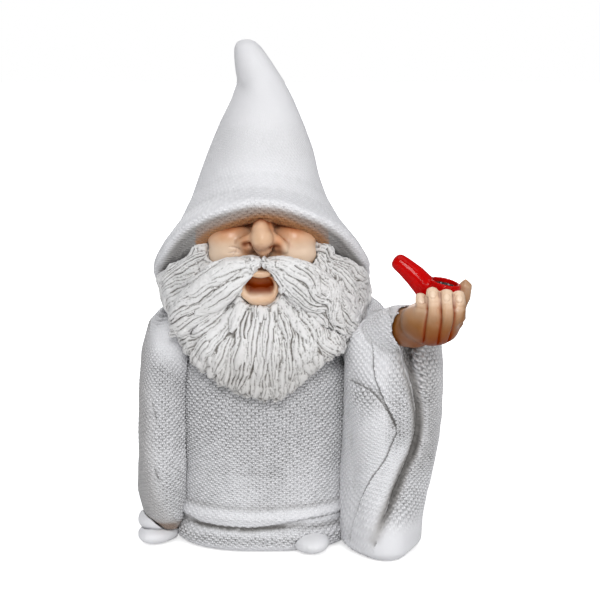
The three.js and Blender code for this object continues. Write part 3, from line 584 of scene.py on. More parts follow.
def skin_paint():
    paint = Paint("skin", 0.42, 0.45)
    paint.shader.inputs["Coat Roughness"].default_value = 0.22
    base = paint.mottled((0.87, 0.74, 0.62), (0.81, 0.645, 0.5), 90, 4, high=0.72)
    # Painted shade: a darker tan towards the hand's bottom and its right edge
    tan_shaded = paint.mix(paint.field("tan_shade"), base, (0.52, 0.32, 0.08))
    # Warm orange in the folds and hollows: painted shade under the brim, beside the nose and between the
    # fingers, and the mouth's orange inside
    fold = paint.darkened("fold", 0.8, tan_shaded, (0.8, 0.46, 0.19))
    groove = paint.darkened("groove", 0.9, fold, (0.5, 0.25, 0.09))
    # Dark brown painted shade, with less sheen, where the deep field says: in the nostrils and mouth, under
    # the nose and the brim, and between and under the fingers
    dark = paint.field("deep")
    open_share = paint.math("SUBTRACT", 1.0, dark, True)
    paint.link(paint.times(open_share, 0.3), "Coat Weight")
    paint.link(paint.times(open_share, 0.45), "Specular IOR Level")
    deep = paint.mix(dark, groove, (0.46, 0.15, 0.0))
    # Pale where the pale field says: painted highlights on the lower lip's top, the finger ridges and
    # fingertips, paler nails, and paler low on the cheeks
    paint.link(paint.mix(paint.field("pale"), deep, (0.95, 0.87, 0.78)), "Base Color")
    paint.bump((paint.noise(500, 4), 0.05))
    return paint.material


def pipe_paint():
    paint = Paint("pipe_red", 0.14, 0.05)
    paint.shader.inputs["Coat Weight"].default_value = 0.12
    paint.shader.inputs["Coat Roughness"].default_value = 0.06
    base = paint.mottled((0.77, 0.02, 0.01), (0.67, 0.0, 0.0), 110, high=0.72, stretch=(1, 1, 0.4))
    # Painted shade: darker red in the pipe's grooves
    paint.link(paint.darkened("groove", 0.8, base, (0.3, 0.0, 0.01)), "Base Color")
    return paint.material


def filling_paint():
    paint = Paint("tobacco", 0.6, 0.4)
    grit = paint.mottled((0.1, 0.06, 0.055), (0.66, 0.64, 0.64), 700, low=0.57, high=0.64)
    paint.link(grit, "Base Color")
    paint.bump((paint.noise(1100, 3), 0.4))
    return paint.material


def base_paint():
    paint = Paint("raw_resin", 0.7, 0.3)
    paint.link(paint.mottled((0.86, 0.845, 0.81), (0.78, 0.765, 0.73), 45, 5, high=0.7), "Base Color")
    paint.bump((paint.noise(300, 4), 0.12), (paint.noise(1500, 2), 0.05))
    return paint.material


def steel_paint():
    paint = Paint("dowel_steel", 0.35)
    paint.shader.inputs["Metallic"].default_value = 1.0
    drawn = paint.mottled((0.72, 0.72, 0.73), (0.6, 0.6, 0.61), 700, high=0.7, stretch=(1, 1, 0.05))
    paint.link(drawn, "Base Color")
    return paint.material


CLOTH = cloth_paint()
HAIR = hair_paint()
SMOOTH_WHITE = smooth_paint()
SKIN = skin_paint()
PIPE_RED = pipe_paint()
TOBACCO = filling_paint()
RAW_RESIN = base_paint()
STEEL = steel_paint()


# Robe

# The middle that the weave runs round, as a place across and front to back
ROBE_MIDDLE = (0, 0)
# The hem's crease and the top of the roll over it, each as places across and their heights
HEM_CREASE = [
    (-60, 19), (-41, 18.5), (-35, 16), (-21, 15), (-7, 14.6), (4, 16), (15, 18), (26, 19.8), (37, 20.5),
    (60, 21),
]
HEM_TOP = [(-60, 25), (-35, 23.5), (-21, 23), (-7, 22.2), (15, 23.6), (37, 24.5), (60, 25)]


def inside_robe(face):
    """True for the cavity's wall and ceiling and the dowels' holes, which nothing shows."""
    x, y, z = face.calc_center_median() / MM
    way = face.normal
    inward = way.x * x + way.y * y < -0.15 * math.hypot(x, y)
    ceiling = z > 2 and way.z < -0.3 and math.hypot(x / 47, y / 43) < 0.9
    return (inward and z > 0.7) or ceiling or (z > 2 and math.hypot(x / 44, y / 40) < 0.86 and z < 112)


def make_robe():
    mesh = cast_skin(node_copy("robe_body", inside_robe), CLOTH_GRAIN, 9)
    points = read(mesh)
    x, z = points[:, 0], points[:, 2]
    crease = np.interp(x, *zip(*HEM_CREASE))
    top = np.interp(x, *zip(*HEM_TOP))
    roll = step(z, crease - 0.2, crease + 1.6) * (1 - step(z, top - 2, top + 4))
    under = mound(z, crease - 1.2, 2.1)
    folds = 0.5 * swirl(points * (1, 1, 0.45), 46, 3) + 0.25 * swirl(points, 19, 4)
    upright = 1 - np.abs(read(mesh, "normal")[:, 2])
    raise_by(mesh, (1.0 * roll - 1.0 * under + folds * step(z, 26, 40)) * upright)
    woven = (1 - 0.4 * roll) * (1 - 0.5 * under) * step(z, 0.6, 3) * upright
    woven *= 0.72 + 0.28 * step(z, 34, 78) + 0.22 * (1 - step(z, 10, 18))
    weave_cloth(mesh, ROBE_MIDDLE, 40, 80, woven, seed=11)
    return finish_piece("robe_body_finish", mesh, "robe_body", CLOTH)


make_robe()


# Hat

HAT_MIDDLE = (-1, 4)
# The brim's crest and its lower edge as the front shows them, and how strongly painted shade darkens its
# face along it
BRIM_CREST = smooth_line([
    (-64, 147), (-59.4, 155.5), (-46.7, 176.2), (-30.3, 189.4), (-8.8, 196.8), (0.3, 197), (15, 194.3),
    (42, 180.4), (58, 158), (63, 149),
])
BRIM_EDGE = smooth_line([
    (-38, 166), (-34, 170.5), (-28, 176), (-20.7, 179.7), (-8, 184.5), (0, 186.3), (10, 184.9), (20, 180.4),
    (28, 176.5), (33, 171), (37, 166),
])
BRIM_DARKNESS = [(-52, 1.5), (-44, 1.5), (-30, 1.35), (-8, 1.3), (28, 1.5), (44, 1.7), (52, 1.6)]
HAT_DENTS = [
    # place, reach, depth
    ((27, -14, 233), (7, 12, 12), 0.9),
    ((-24, -12, 226), (9, 12, 10), 0.7),
    ((36, -8, 205), (9, 14, 9), 0.7),
    ((-13, 8, 255), (5, 12, 5), 1.3),
    ((14, -2, 258), (5, 12, 9), -0.5),
]


def inside_hat(face):
    """True for the hollow above the head, which nothing shows."""
    place = face.calc_center_median() / MM
    away = place - Vector((-1.5, 8, place.z))
    radius = np.interp(place.z, [198, 203, 226, 242], [22, 24.5, 17, 8])
    return 199 < place.z < 244 and away.length < radius and face.normal.dot(away) < 0.3 * away.length


def make_hat():
    mesh = cast_skin(node_copy("hat", inside_hat), HAT_GRAIN, 8)
    points = read(mesh)
    normals = read(mesh, "normal")
    lift = 0.5 * swirl(points * (1, 1, 0.5), 55, 21) * step(points[:, 2], 205, 225)
    for place, reach, depth in HAT_DENTS:
        lift -= depth * mound_at(points, place, reach)
    under, _ = beside(BRIM_CREST, points[:, 0], points[:, 2])
    front = step(-points[:, 1], 8, 20) * step(-normals[:, 1], -0.2, 0.2)
    band = step(under, -0.5, 1.5)
    lift += front * (1.1 * mound(under, -0.3, 1.9) - 1.6 * step(under, 0, 6))
    raise_by(mesh, lift)
    below = step(-normals[:, 2], 0.15, 0.5)
    woven = np.clip(0.18 + 0.1 * mound(under, -2, 4) + 0.2 * front * band + 0.1 * below, 0, 0.6)
    woven *= 1 - step(points[:, 2], 226, 246)
    # Painted shade on the brim's face below its crest
    dark = np.interp(points[:, 0], *zip(*BRIM_DARKNESS))
    shaded = front * step(under, np.where(points[:, 0] < -36, 0, 0.8), 5) * dark
    # A little painted shade over the hat's upper part
    shaded = np.maximum(shaded, 0.16 * step(points[:, 2], 206, 222))
    weave_cloth(
        mesh, HAT_MIDDLE, 150, 165, woven, seed=31,
        relief=HAT_RELIEF, sway=7, shaded=shaded, fold_depth=3.0,
    )
    # Warm brown painted shade on the brim's underside beside the face, strongest at its inner edge
    inner, _ = beside(BRIM_EDGE, points[:, 0], points[:, 2])
    facing = step(-points[:, 1], 26, 34) * (np.abs(points[:, 0]) < 36)
    warm = 0.55 * (1 - step(-inner, 1, 5)) + 0.35 * (1 - step(-inner, 4, 11))
    keep_field(mesh, "warm", warm * facing * (1 - step(inner, 8, 12)))
    return finish_piece("hat_finish", mesh, "hat", CLOTH)


make_hat()


# Hair

# Courses that the hair follows over the head, each from root to tip
CHEEK_COURSES = [
    [(-29.4, -37, 169.7), (-41.3, -34, 163.4), (-55, -25, 153.8)],
    [(-28.5, -40, 165.1), (-41.1, -38, 158), (-54.8, -28, 148.7)],
    [(29.4, -38, 168.1), (38.5, -39, 157.3), (46.1, -39, 143.1)],
    [(33, -36, 169), (46, -30, 159), (57, -22, 147)],
]
MOUSTACHE_COURSES = [
    [
        (-4.2, -55, 167.3), (-15.6, -54, 166), (-23.8, -55, 161.9), (-35.5, -50, 154.2),
        (-46.3, -37, 146.1), (-52.7, -29, 139.6),
    ],
    [(-2.5, -56, 164.2), (-13.9, -58, 157.9), (-23.8, -56, 152.7), (-35.6, -51, 146), (-46.7, -44, 139)],
    [(-7.5, -56, 154.3), (-19, -54, 144.9), (-35.8, -49, 136.4), (-47.3, -43, 128.6)],
    [(1.5, -55, 165.4), (11.3, -55, 166.6), (21.1, -56, 160.9), (33.4, -52, 150.4), (41.8, -47, 136.1)],
    [(5.6, -56.5, 157.7), (15.4, -55, 147.5), (25.2, -52, 140.3), (33.5, -47.5, 131.1)],
]
BEARD_COURSES = [
    [(-19.2, -51, 140.2), (-30.9, -48, 132), (-45.6, -39, 121.9)],
    [(-16.7, -50.5, 137.5), (-25.9, -50, 125.7), (-36.1, -47, 114.1)],
    [(-11.8, -51, 138.5), (-16.8, -52, 124.4), (-24.2, -55, 105.7)],
    [(-5.2, -51, 136.8), (-7.2, -54.6, 120.7), (-11.8, -56, 97.6)],
    [(0.6, -51.5, 137.7), (-0.3, -55, 120.8), (-1.9, -58, 97.1)],
    [(6.3, -51.5, 139.4), (7.1, -55, 120.9), (5.5, -57, 96.9)],
    [(11.2, -51, 140.1), (17, -52, 126.1), (17.8, -54, 99.6)],
    [(18.7, -51, 140.1), (26.9, -52, 126.1), (31.2, -50, 101.5)],
    [(27.7, -50, 134.1), (36, -47, 123.5), (42.4, -42, 103.7)],
    [(40, -44, 150), (47, -40, 135), (52, -34, 118)],
    [(-56, -22, 148), (-56, -20, 136), (-52, -20, 124)],
    [(58, -20, 146), (58, -19, 134), (54, -20, 120)],
]
BACK_COURSES = [
    [(x, y, 150), (1.03 * x, 1.03 * y, 135), (1.05 * x, 1.05 * y, 112)]
    for x, y in ((-52, 0), (-42, 26), (-20, 38), (0, 42), (20, 38), (42, 26), (54, 0))
]
# A lock's path goes by this step, and leaves the form where its normal points down further than this
HAIR_STEP = 1.2
UNDERSIDE = -0.6
MEANDER = 0.23


class Flow:
    """The way that the hair runs at any place, from the courses near it."""

    def __init__(self, courses):
        lines = [smooth_line(course, 4) for course in courses]
        self.middles = np.vstack([(line[1:] + line[:-1]) / 2 for line in lines])
        self.ways = np.vstack([unit(np.diff(line, axis=0)) for line in lines])

    def at(self, places):
        away = np.linalg.norm(places[:, None] - self.middles[None], axis=2)
        weights = (away + 1.5) ** -3.5
        return unit(weights @ self.ways)


def open_places(mesh, node):
    """Which points of a piece have room in front of them, clear of the other pieces."""
    points = read(mesh)
    ahead = points + read(mesh, "normal") * 1.2
    open_ones = np.ones(len(points), dtype=bool)
    low, high = points.min(0) - 4, points.max(0) + 4
    for name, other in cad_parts.items():
        if name == node or other.type != "MESH":
            continue
        others = read(other.data)
        if (others.max(0) < low).any() or (others.min(0) > high).any():
            continue
        tree = tree_of(other.data)
        for i in np.flatnonzero(open_ones):
            place, normal, _, away = tree.find_nearest(ahead[i].tolist(), 25)
            if place is None:
                continue
            if away < 0.3 or normal.dot(Vector(ahead[i]) - place) < 0:
                open_ones[i] = False
    return open_ones


def spread_out(places, spacing, random):
    """Some of the places, in a random order, none nearer to another than the spacing."""
    left = random.permutation(len(places))
    chosen = []
    while len(left):
        chosen.append(left[0])
        left = left[np.linalg.norm(places[left] - places[left[0]], axis=1) > spacing]
    return np.array(chosen)


def walk(tree, starts, flow, steps, seed):
    """Each lock's path over the surface, the normals along it, and where it leaves the surface."""
    count = len(starts)
    paths = np.empty((steps, count, 3))
    normals = np.empty((steps, count, 3))
    leaves = np.full(count, steps)
    places = starts.copy()
    uprights = np.array([tuple(tree.find_nearest(place.tolist())[1]) for place in places])
    ways = flow.at(places)
    for i in range(steps):
        paths[i] = places
        normals[i] = uprights
        bent = MEANDER * swirl(places, 13, seed) * (0.45 + 0.75 * step(places[:, 0], 0, 35))
        sideways = np.cross(uprights, ways) * bent[:, None]
        aim = unit(0.5 * ways + 0.5 * flow.at(places) + sideways)
        aim = unit(aim - uprights * (aim * uprights).sum(1)[:, None])
        for j in range(count):
            ahead = places[j] + aim[j] * HAIR_STEP
            if leaves[j] < steps:
                places[j] = ahead
                continue
            place, normal, _, _ = tree.find_nearest(ahead.tolist())
            if np.dot(normal, uprights[j]) < 0.2 or normal[2] < UNDERSIDE:
                leaves[j] = i + 1
                places[j] = ahead
                continue
            places[j] = place
            uprights[j] = unit(0.5 * uprights[j] + 0.5 * np.array(normal))
        ways = aim
    return paths, normals, leaves


def lock_strands(path, normals, radius, random):
    """The strands of a lock's loose end, each as its points and their radii, drawn together at the tip."""
    tangents = unit(np.gradient(path, axis=0))
    sides = unit(np.cross(normals, tangents))
    count = random.integers(2, 4)
    strands = []
    for i in range(count):
        last = len(path) - random.integers(0, 3)
        share = np.linspace(0, 1, last)
        aside = radius * (2 * i / (count - 1) - 1) * np.interp(share, [0, 1], [0.9, 0.35])
        rise = np.interp(share, [0, 1], [-0.8, 0.2]) + random.uniform(-0.4, 0.4)
        girths = radius * random.uniform(0.85, 1.15) * np.interp(share, [0, 0.5, 1], [1, 0.95, 0.5])
        middle = path[:last] + sides[:last] * aside[:, None] + normals[:last] * rise[:, None]
        strands.append((middle, girths))
    return strands


# Of how many near stations of the locks each point takes the one that stands highest
NEAR_LOCKS = 14


def lock_relief(places, paths, normals, lengths, width, seed):
    """How far the carved locks stand out at each place: ridged, overlapping, each sunk at its root."""
    random = np.random.default_rng(seed)
    tangents = unit(np.gradient(paths, axis=0))
    sides = unit(np.cross(normals, tangents))
    known = [(i, j) for i, length in enumerate(lengths) for j in range(0, length, 2)]
    lock, station = np.array(known).T
    tree = nearest_of(paths[station, lock])
    found = np.array([[hit[1] for hit in tree.find_n(place, NEAR_LOCKS)] for place in places.tolist()])
    which = lock[found]
    away = places[:, None] - paths[station, lock][found]
    along = (away * tangents[station, lock][found]).sum(2)
    aside = (away * sides[station, lock][found]).sum(2) + 0.3 * swirl(places, 7, seed)[:, None]
    share = (station[found] + along / HAIR_STEP) / lengths[which]
    count = len(lengths)
    widths = width * random.uniform(0.75, 1.2, count)[which]
    widths *= np.interp(share, [0, 0.25, 0.75, 1], [0.6, 1, 0.9, 0.3])
    across = aside / widths
    slope = np.interp(share, [0, 0.2, 0.85, 1], [-0.6, 0.0, 0.5, 0.2])
    crown = random.uniform(-0.6, 0.6, count)[which] + slope + 0.7 * (1 - across ** 2)
    outside = (np.abs(across) > 1) | (np.abs(along) > 1.4 * HAIR_STEP) | (share < 0) | (share > 1)
    crown[outside] = -2
    rows = np.arange(len(places))
    top = crown.argmax(1)
    chosen = which[rows, top]
    phase = random.uniform(0, TURN, count)[chosen]
    strands = random.integers(1, 4, count)[chosen]
    turn = strands * (across[rows, top] + 0.12 * np.sin(6 * share[rows, top] + phase)) / 2 + phase
    cell = np.floor(turn).astype(int)
    cut = turn - cell
    depths = 0.15 + 1.9 * random.uniform(size=(count, 8)) ** 2.5
    thin = 0.078 * strands
    grooves = depths[chosen, cell % 8] * np.exp(-(cut / thin) ** 1.5)
    grooves += depths[chosen, (cell + 1) % 8] * np.exp(-((1 - cut) / thin) ** 1.5)
    height = crown[rows, top] + 0.75 + 0.3 * np.sin(math.pi * cut) - grooves
    return np.where(crown[rows, top] > -2, height, 0.3 + 0.5 * swirl(places, 3, seed + 2))


def chisel_marks(mesh, paths, seed, passes=25):
    """Random relief drawn out along the locks that run nearest to each point, of about 1 in height."""
    tree = nearest_of(paths.reshape(-1, 3))
    ways = unit(np.gradient(paths, axis=0)).reshape(-1, 3)
    points = read(mesh)
    nearest = np.array([tree.find(place)[1] for place in points.tolist()])
    ends = ends_of(mesh)
    along = unit(points[ends[:, 1]] - points[ends[:, 0]])
    course = ways[nearest]
    pull = np.abs((along * unit(course[ends[:, 0]] + course[ends[:, 1]])).sum(1)) ** 8 + 0.01
    values = np.random.default_rng(seed).normal(size=(len(points), 1))
    values = neighbour_mean(neighbour_mean(values, ends, 1), ends, passes, pull, 0.6)[:, 0]
    values -= values.mean()
    return np.clip(values / values.std(), -2.5, 2.5)


def strands_mesh(strands, sides=1):
    """All the strands as closed round rods in one mesh."""
    curve = bpy.data.curves.new("strands", "CURVE")
    curve.dimensions = "3D"
    curve.bevel_depth = MM
    curve.bevel_resolution = sides
    curve.use_fill_caps = True
    for points, girths in strands:
        spline = curve.splines.new("POLY")
        spline.points.add(len(points) - 1)
        spline.points.foreach_set("co", np.column_stack([points * MM, np.ones(len(points))]).ravel())
        spline.points.foreach_set("radius", girths)
    return settled(add_object("strands", curve))


def rods(rows):
    """Round rods, each from its places and the radius at each."""
    return strands_mesh([(np.array(places, dtype=float), radii) for places, radii in rows], sides=3)


def hair_mass(*nodes):
    """One soft form of several hair castings, for locks that run from one on to the next."""
    mesh = cast_skin(joined(*[node_copy(node) for node in nodes]), HAIR_FLOW_GRAIN, 12, finer=0)
    raise_by(mesh, np.full(len(mesh.vertices), -0.7))
    return tree_of(mesh)


# How far in each half of the moustache reaches beside the mouth, as places across and up
MOUTH_SIDES = {
    "moustache_right": [
        (-1.1, 160.9), (-5.4, 157.4), (-8.8, 154.6), (-10.3, 151.9), (-12.3, 148.8), (-15, 143),
    ],
    "moustache_left": [(0.6, 161), (3.9, 158.5), (6.6, 155.8), (8.9, 151.9), (9.6, 148.8), (12, 142)],
}


def mouth_inset(mesh, node):
    """Draws a half of the moustache back from the lips, to its line beside them."""
    points = read(mesh)
    outward = -1 if node == "moustache_right" else 1
    over, _ = beside(MOUTH_SIDES[node], points[:, 0], points[:, 2])
    inside = np.clip(outward * over + 0.6, 0, 8) * step(points[:, 2], 138, 143) * (points[:, 2] < 161.5)
    points[:, 0] += outward * inside
    write(mesh, points)


# The share of the locks that end in loose tips, the radius of a tip's strands, and their steps in the form
LOOSE_SHARE = 0.6
TIP_RADIUS = 1.5
TIP_OVERLAP = 5


def make_hair(
    node, tree, courses, seed, spacing=5.2, lengths=(14, 32), width=3.1, filled=(), loose_steps=5, reach=6,
):
    """Carved locks over a node's form, one casting with it, their paths on the tree's surface."""
    random = np.random.default_rng(seed)
    base = cast_skin(joined(node_copy(node), *filled), HAIR_CORE_GRAIN, 5, finer=0)
    room = open_places(base, node)
    raise_by(base, np.full(len(base.vertices), -0.5))
    if node in MOUTH_SIDES:
        mouth_inset(base, node)
    places = read(base)[room]
    starts = places[spread_out(places, spacing, random)]
    starts = np.array([tuple(tree.find_nearest(place.tolist())[0]) for place in starts])
    paths, normals, leaves = walk(tree, starts, Flow(courses), lengths[1], seed)
    spans = random.integers(*lengths, len(starts))
    own = tree_of(base)
    loose = []
    for i in range(len(starts)):
        away = np.array([own.find_nearest(place.tolist())[3] for place in paths[:, i]])
        leaves[i] = min([leaves[i], *np.flatnonzero(away > reach)])
        if spans[i] > leaves[i] > 3:
            spans[i] = min(spans[i], leaves[i] + random.integers(0, loose_steps))
            end = slice(max(0, leaves[i] - TIP_OVERLAP), spans[i])
            if random.uniform() < LOOSE_SHARE:
                loose += lock_strands(paths[end, i], normals[end, i], TIP_RADIUS, random)
    parts = [base, strands_mesh(loose)] if loose else [base]
    mesh = modified(
        joined(*parts),
        ("REMESH", {"mode": "VOXEL", "voxel_size": HAIR_GRAIN * MM}),
        ("SMOOTH", {"factor": 0.5, "iterations": 3}),
    )
    points = read(mesh)
    spans = np.maximum(np.minimum(spans, leaves), 2)
    relief = lock_relief(points, paths, normals, spans, width, seed + 5) - 0.9
    rough = 0.6 + 0.7 * step(points[:, 0], -5, 30)
    relief += rough * (0.14 * swirl(points, 3.2, seed + 1) + 0.13 * swirl(points, 1.6, seed + 2, 20))
    relief += rough * 0.15 * chisel_marks(mesh, paths, seed + 3)
    raise_by(mesh, relief)
    mesh = thinned(modified(mesh, ("SMOOTH", {"factor": 0.3, "iterations": 1})))
    heights = read(mesh)[:, 2]
    # Painted shade over the beard's lower part
    low = 0.42 * (1 - step(heights, 98, 126)) if node == "beard" else 0
    keep_hollows(mesh, fine=7, broad=50, fine_depth=0.26, broad_depth=1.1, shaded=low)
    return finish_piece(node + "_finish", mesh, node, HAIR)


FRONT_HAIR = hair_mass("beard", "moustache_right", "moustache_left")
BACK_HAIR = hair_mass("back_hair")
FRONT_COURSES = BEARD_COURSES + MOUSTACHE_COURSES + CHEEK_COURSES

# Where the beard and the moustache are fuller than their castings' plain forms
BEARD_FILL = [
    ball((-34, -31, 168), (6.5, 7, 9)), ball((33, -31, 168.5), (6.5, 7, 9)),
    ball((-26, -44, 136), (10, 6, 8)), ball((24, -44, 138), (10, 6, 8)),
]
make_hair("beard", FRONT_HAIR, FRONT_COURSES, seed=101, filled=BEARD_FILL)
PARTING = {
    "moustache_right": ball((-4.6, -54, 163.4), (6.9, 5.4, 4.1), -28),
    "moustache_left": ball((5, -54, 163), (6.6, 5.4, 4.3), 28),
}
for lobe, lobe_seed, most in (("moustache_right", 111, 32), ("moustache_left", 121, 28)):
    make_hair(
        lobe, FRONT_HAIR, MOUSTACHE_COURSES, lobe_seed, spacing=4.6, lengths=(14, most), width=2.8,
        filled=[PARTING[lobe]], loose_steps=8, reach=1.2,
    )
make_hair("back_hair", BACK_HAIR, BACK_COURSES, seed=131, spacing=5.8, lengths=(16, 38), width=3.5)


# Sleeves

LEFT_MIDDLE = (68, -30)
RIGHT_MIDDLE = (-55.5, -14)
# Draws the folds of hanging cloth out upright
UPRIGHT = (1, 1, 0.35)
# The front flap's edge, the middle of the slit beside it, and the crease at the elbow
FLAP_EDGE = smooth_line([
    (58.6, 124.4), (59.7, 116.7), (60.8, 102), (65.7, 90), (71.5, 79), (73, 73), (70.7, 67.5), (67, 58.3),
    (59, 45.6), (52.7, 30.7), (48.2, 13), (47.3, 2),
])
MOUTH_LINE = smooth_line([
    (76, 116), (81, 103), (84.5, 90), (86.1, 76), (83.5, 61), (78.6, 51.5), (73.5, 39), (67.6, 25.8),
    (62.6, 13.4),
])
ELBOW_FOLD = smooth_line([(48, 97), (54, 95.5), (61, 91.5), (67, 84), (71.4, 76)])
# Rods that fill the slit's floor and its right side, each as places and the radius at each
MOUTH_FILL = [
    (
        [
            (78.5, -39, 117), (80.5, -39.5, 108), (84, -40, 96), (86.6, -40, 82), (84.8, -41.5, 68),
            (80, -43.5, 56), (74.5, -47.5, 44), (69.5, -52, 32), (64.5, -56, 19), (62, -58.5, 10),
        ],
        [4.4, 4.4, 4.2, 3.8, 3.8, 3.6, 3.4, 3, 2.8, 2.8],
    ),
    (
        [
            (85, -46.5, 117), (87, -46.2, 100), (89, -45.8, 83), (88.2, -45.8, 70), (85.8, -46.6, 60),
            (81.6, -49.2, 50), (76.2, -54.6, 39), (72, -58.2, 28), (66.4, -61.4, 17), (63, -62, 10),
        ],
        [4.5, 4.6, 4.7, 4.7, 4.5, 4.2, 3.8, 3.2, 2.4, 2],
    ),
]
# How far from the hand its plain rim of sleeve is looked for
CUFF_REACH = 4


def make_left_sleeve():
    mesh = cast_skin(joined(node_copy("left_sleeve"), rods(MOUTH_FILL)), SLEEVE_GRAIN, 6)
    x, y, z = read(mesh).T
    softened(mesh, mound(x, 60, 14) * mound(z, 114, 14) * step(-y, 20, 30), 40)
    valley, _ = beside(MOUTH_LINE, x, z)
    at_front = step(-read(mesh, "normal")[:, 1], -0.3, 0.1) * step(-y, 26, 32) * (1 - step(z, 104, 114))
    softened(mesh, mound(valley, 0, 9) * at_front, 24)
    points = read(mesh)
    normals = read(mesh, "normal")
    x, y, z = points.T
    front = step(-normals[:, 1], 0.1, 0.5) * step(-y, 30, 36)

    # The flap's lip, the slit's bank and floor, the elbow's crease and the drape
    edge, edge_share = beside(FLAP_EDGE, x, z)
    ends = step(edge_share, 0, 0.12)
    lip = np.where(edge < 0, np.exp(edge / 4), 0)
    under = np.where(edge >= 0, np.exp(-edge / 2), 0)
    valley, valley_share = beside(MOUTH_LINE, x, z)
    curved = arch(valley_share, 0.03) ** 0.5
    bank = mound(valley, 7.5, 4) * curved
    floor_line = mound(valley, 1.8, 3) * curved
    bend, _ = beside(ELBOW_FOLD, x, z)
    crook = np.where(bend > 0, -1.1 * mound(bend, 0, 3), 0)
    crook = np.where(bend < 0, -1.5 * mound(bend, 0, 5), crook)
    drape = 0.8 * swirl(points * UPRIGHT, 40, 51) + 0.3 * swirl(points, 17, 52)
    lift = ends * (0.45 * lip - 0.22 * under) + 0.9 * bank - 1.2 * floor_line + 0.8 * crook
    raise_by(mesh, (front * lift + drape) * step(z, 2, 10))

    # The weave on either side of the slit, with none round the hand
    left_side = 0.4 + 0.42 * step(x, 64, 74) * step(z, 56, 72) * (1 - 0.4 * step(z, 116, 124))
    left_side += 0.5 * mound(x, 56, 9) * mound(z, 90, 7)
    left_side *= 1 - 0.4 * (1 - step(z, 12, 40))
    right_side = 0.8 * step(z, 12, 30) * (1 - 0.4 * step(x, 92, 99))
    woven = np.where(valley > 2, left_side, right_side) * (1 - 0.8 * floor_line)
    woven = 0.5 + (woven - 0.5) * front
    hand = tree_of(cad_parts["left_hand"].data)
    cuff = np.array([hand.find_nearest(point.tolist(), CUFF_REACH)[3] or CUFF_REACH for point in points])
    rim = 1 - step(cuff, 1.2, 2.4)
    raise_by(mesh, 0.35 * rim)
    woven *= 1 - rim

    # The shade in the slit, below the hand and on the outer side
    below_hand = mound(x, 80, 7) * mound(z, 118, 6)
    shaded = front * np.maximum(2.5 * floor_line, 1.3 * below_hand)
    shaded = np.maximum(shaded, 0.4 * step(-valley, 1, 5) * step(z, 40, 60) * step(-y, 14, 46))
    weave_cloth(mesh, LEFT_MIDDLE, 50, 90, woven, sway=10, seed=53, shaded=shaded)
    return finish_piece("left_sleeve_finish", mesh, "left_sleeve", CLOTH)


# The outer edge of the front strip, and the short pinched folds
STRIP_EDGE = smooth_line([
    (-62.7, 118), (-62.3, 98), (-61, 85), (-60, 68.6), (-60, 52), (-58, 41), (-55, 30), (-51, 22),
])
FOLD_MARKS = [
    smooth_line([(-61.4, 90), (-60.6, 83), (-58.8, 75), (-56.5, 70)]),
    smooth_line([(-60.6, 51), (-58.8, 44), (-56.6, 40.5), (-53.8, 39)]),
    smooth_line([(-37.5, 104), (-40, 100.5), (-43, 96)]),
    smooth_line([(-38, 99), (-41, 95.5), (-44, 91)]),
    smooth_line([(-38.6, 94), (-41, 91), (-43.5, 87)]),
]


def make_right_sleeve():
    mesh = cast_skin(node_copy("right_sleeve"), SLEEVE_GRAIN, 8)
    points = read(mesh)
    normals = read(mesh, "normal")
    x, y, z = points.T
    front = step(-normals[:, 1], 0.0, 0.4) * step(-y, 14, 22)
    strip, _ = beside(STRIP_EDGE, x, z)
    lift = 0.3 * front * (mound(strip, -4, 4) - mound(strip, 0, 4))
    for mark in FOLD_MARKS:
        across, along = beside(mark, x, z)
        depth = mound(across, 0, np.where(across > 0, 0.8, 2.2))
        lift -= 0.5 * front * depth * arch(along, 0.05)
    lift += 0.6 * swirl(points * UPRIGHT, 36, 61) + 0.25 * swirl(points, 15, 62)
    raise_by(mesh, lift * step(z, 9, 14))
    woven = 0.5 + 0.35 * step(-strip, -5, 5) * front
    woven *= 1 - 0.75 * front * step(z + 0.6 * (x + 55), 98, 114)
    # Painted shade on the outer strip, and warm brown painted shadow on the underside, darkest at its
    # bottom edge
    outer = 0.75 * step(strip, -4, 6) * step(-y, -20, 5)
    underside = step(-normals[:, 2], 0.2, 0.7) * step(-y, 5, 15) * (0.25 + 0.75 * (1 - step(z, 13, 16.5)))
    shaded = np.maximum(outer, 1.6 * underside)
    weave_cloth(mesh, RIGHT_MIDDLE, 40, 90, woven, sway=10, seed=63, shaded=shaded)
    keep_field(mesh, "warm", 0.35 * underside)
    return finish_piece("right_sleeve_finish", mesh, "right_sleeve", CLOTH)


make_left_sleeve()
make_right_sleeve()


# Smooth castings

def make_smooth(node):
    mesh = cast_skin(node_copy(node), HAND_GRAIN, 6)
    raise_by(mesh, 0.25 * swirl(read(mesh), 14, 71))
    # Where its folds are, for the painted shade there
    keep_hollows(mesh, fine=4, broad=40)
    return finish_piece(node + "_finish", mesh, node, SMOOTH_WHITE)


for node_name in ("right_hand", "right_shoe", "left_shoe"):
    make_smooth(node_name)


def make_base():
    mesh = cast_skin(node_copy("base_plate"), BASE_GRAIN, 2, finer=0)
    points = read(mesh)
    raise_by(mesh, 0.08 * swirl(points, 11, 81) * step(points[:, 2], 0.3, 1.0))
    return finish_piece("base_plate_finish", mesh, "base_plate", RAW_RESIN)


make_base()


# Head

# Soft forms that the face has over the plain head: place, radii, turn
FACE_FORMS = [
    ((0, -53.4, 177), (6.4, 6.2, 6.4), 0),
    ((-0.6, -50, 181.4), (5, 5.6, 6.2), 0),
    ((0.5, -48.8, 169.8), (3.4, 4.6, 4.2), 0),
    ((-1, -52, 157.9), (6.4, 2.8, 2.3), 0),
    ((-1, -41.5, 153.5), (9.5, 6, 5.4), 0),
    ((-17.2, -35, 174.5), (13, 10.4, 10.4), 6),
    ((17, -35, 174.5), (12.6, 10.4, 10.4), -6),
    ((-1, -46, 145.3), (9.2, 7, 6), 0),
]
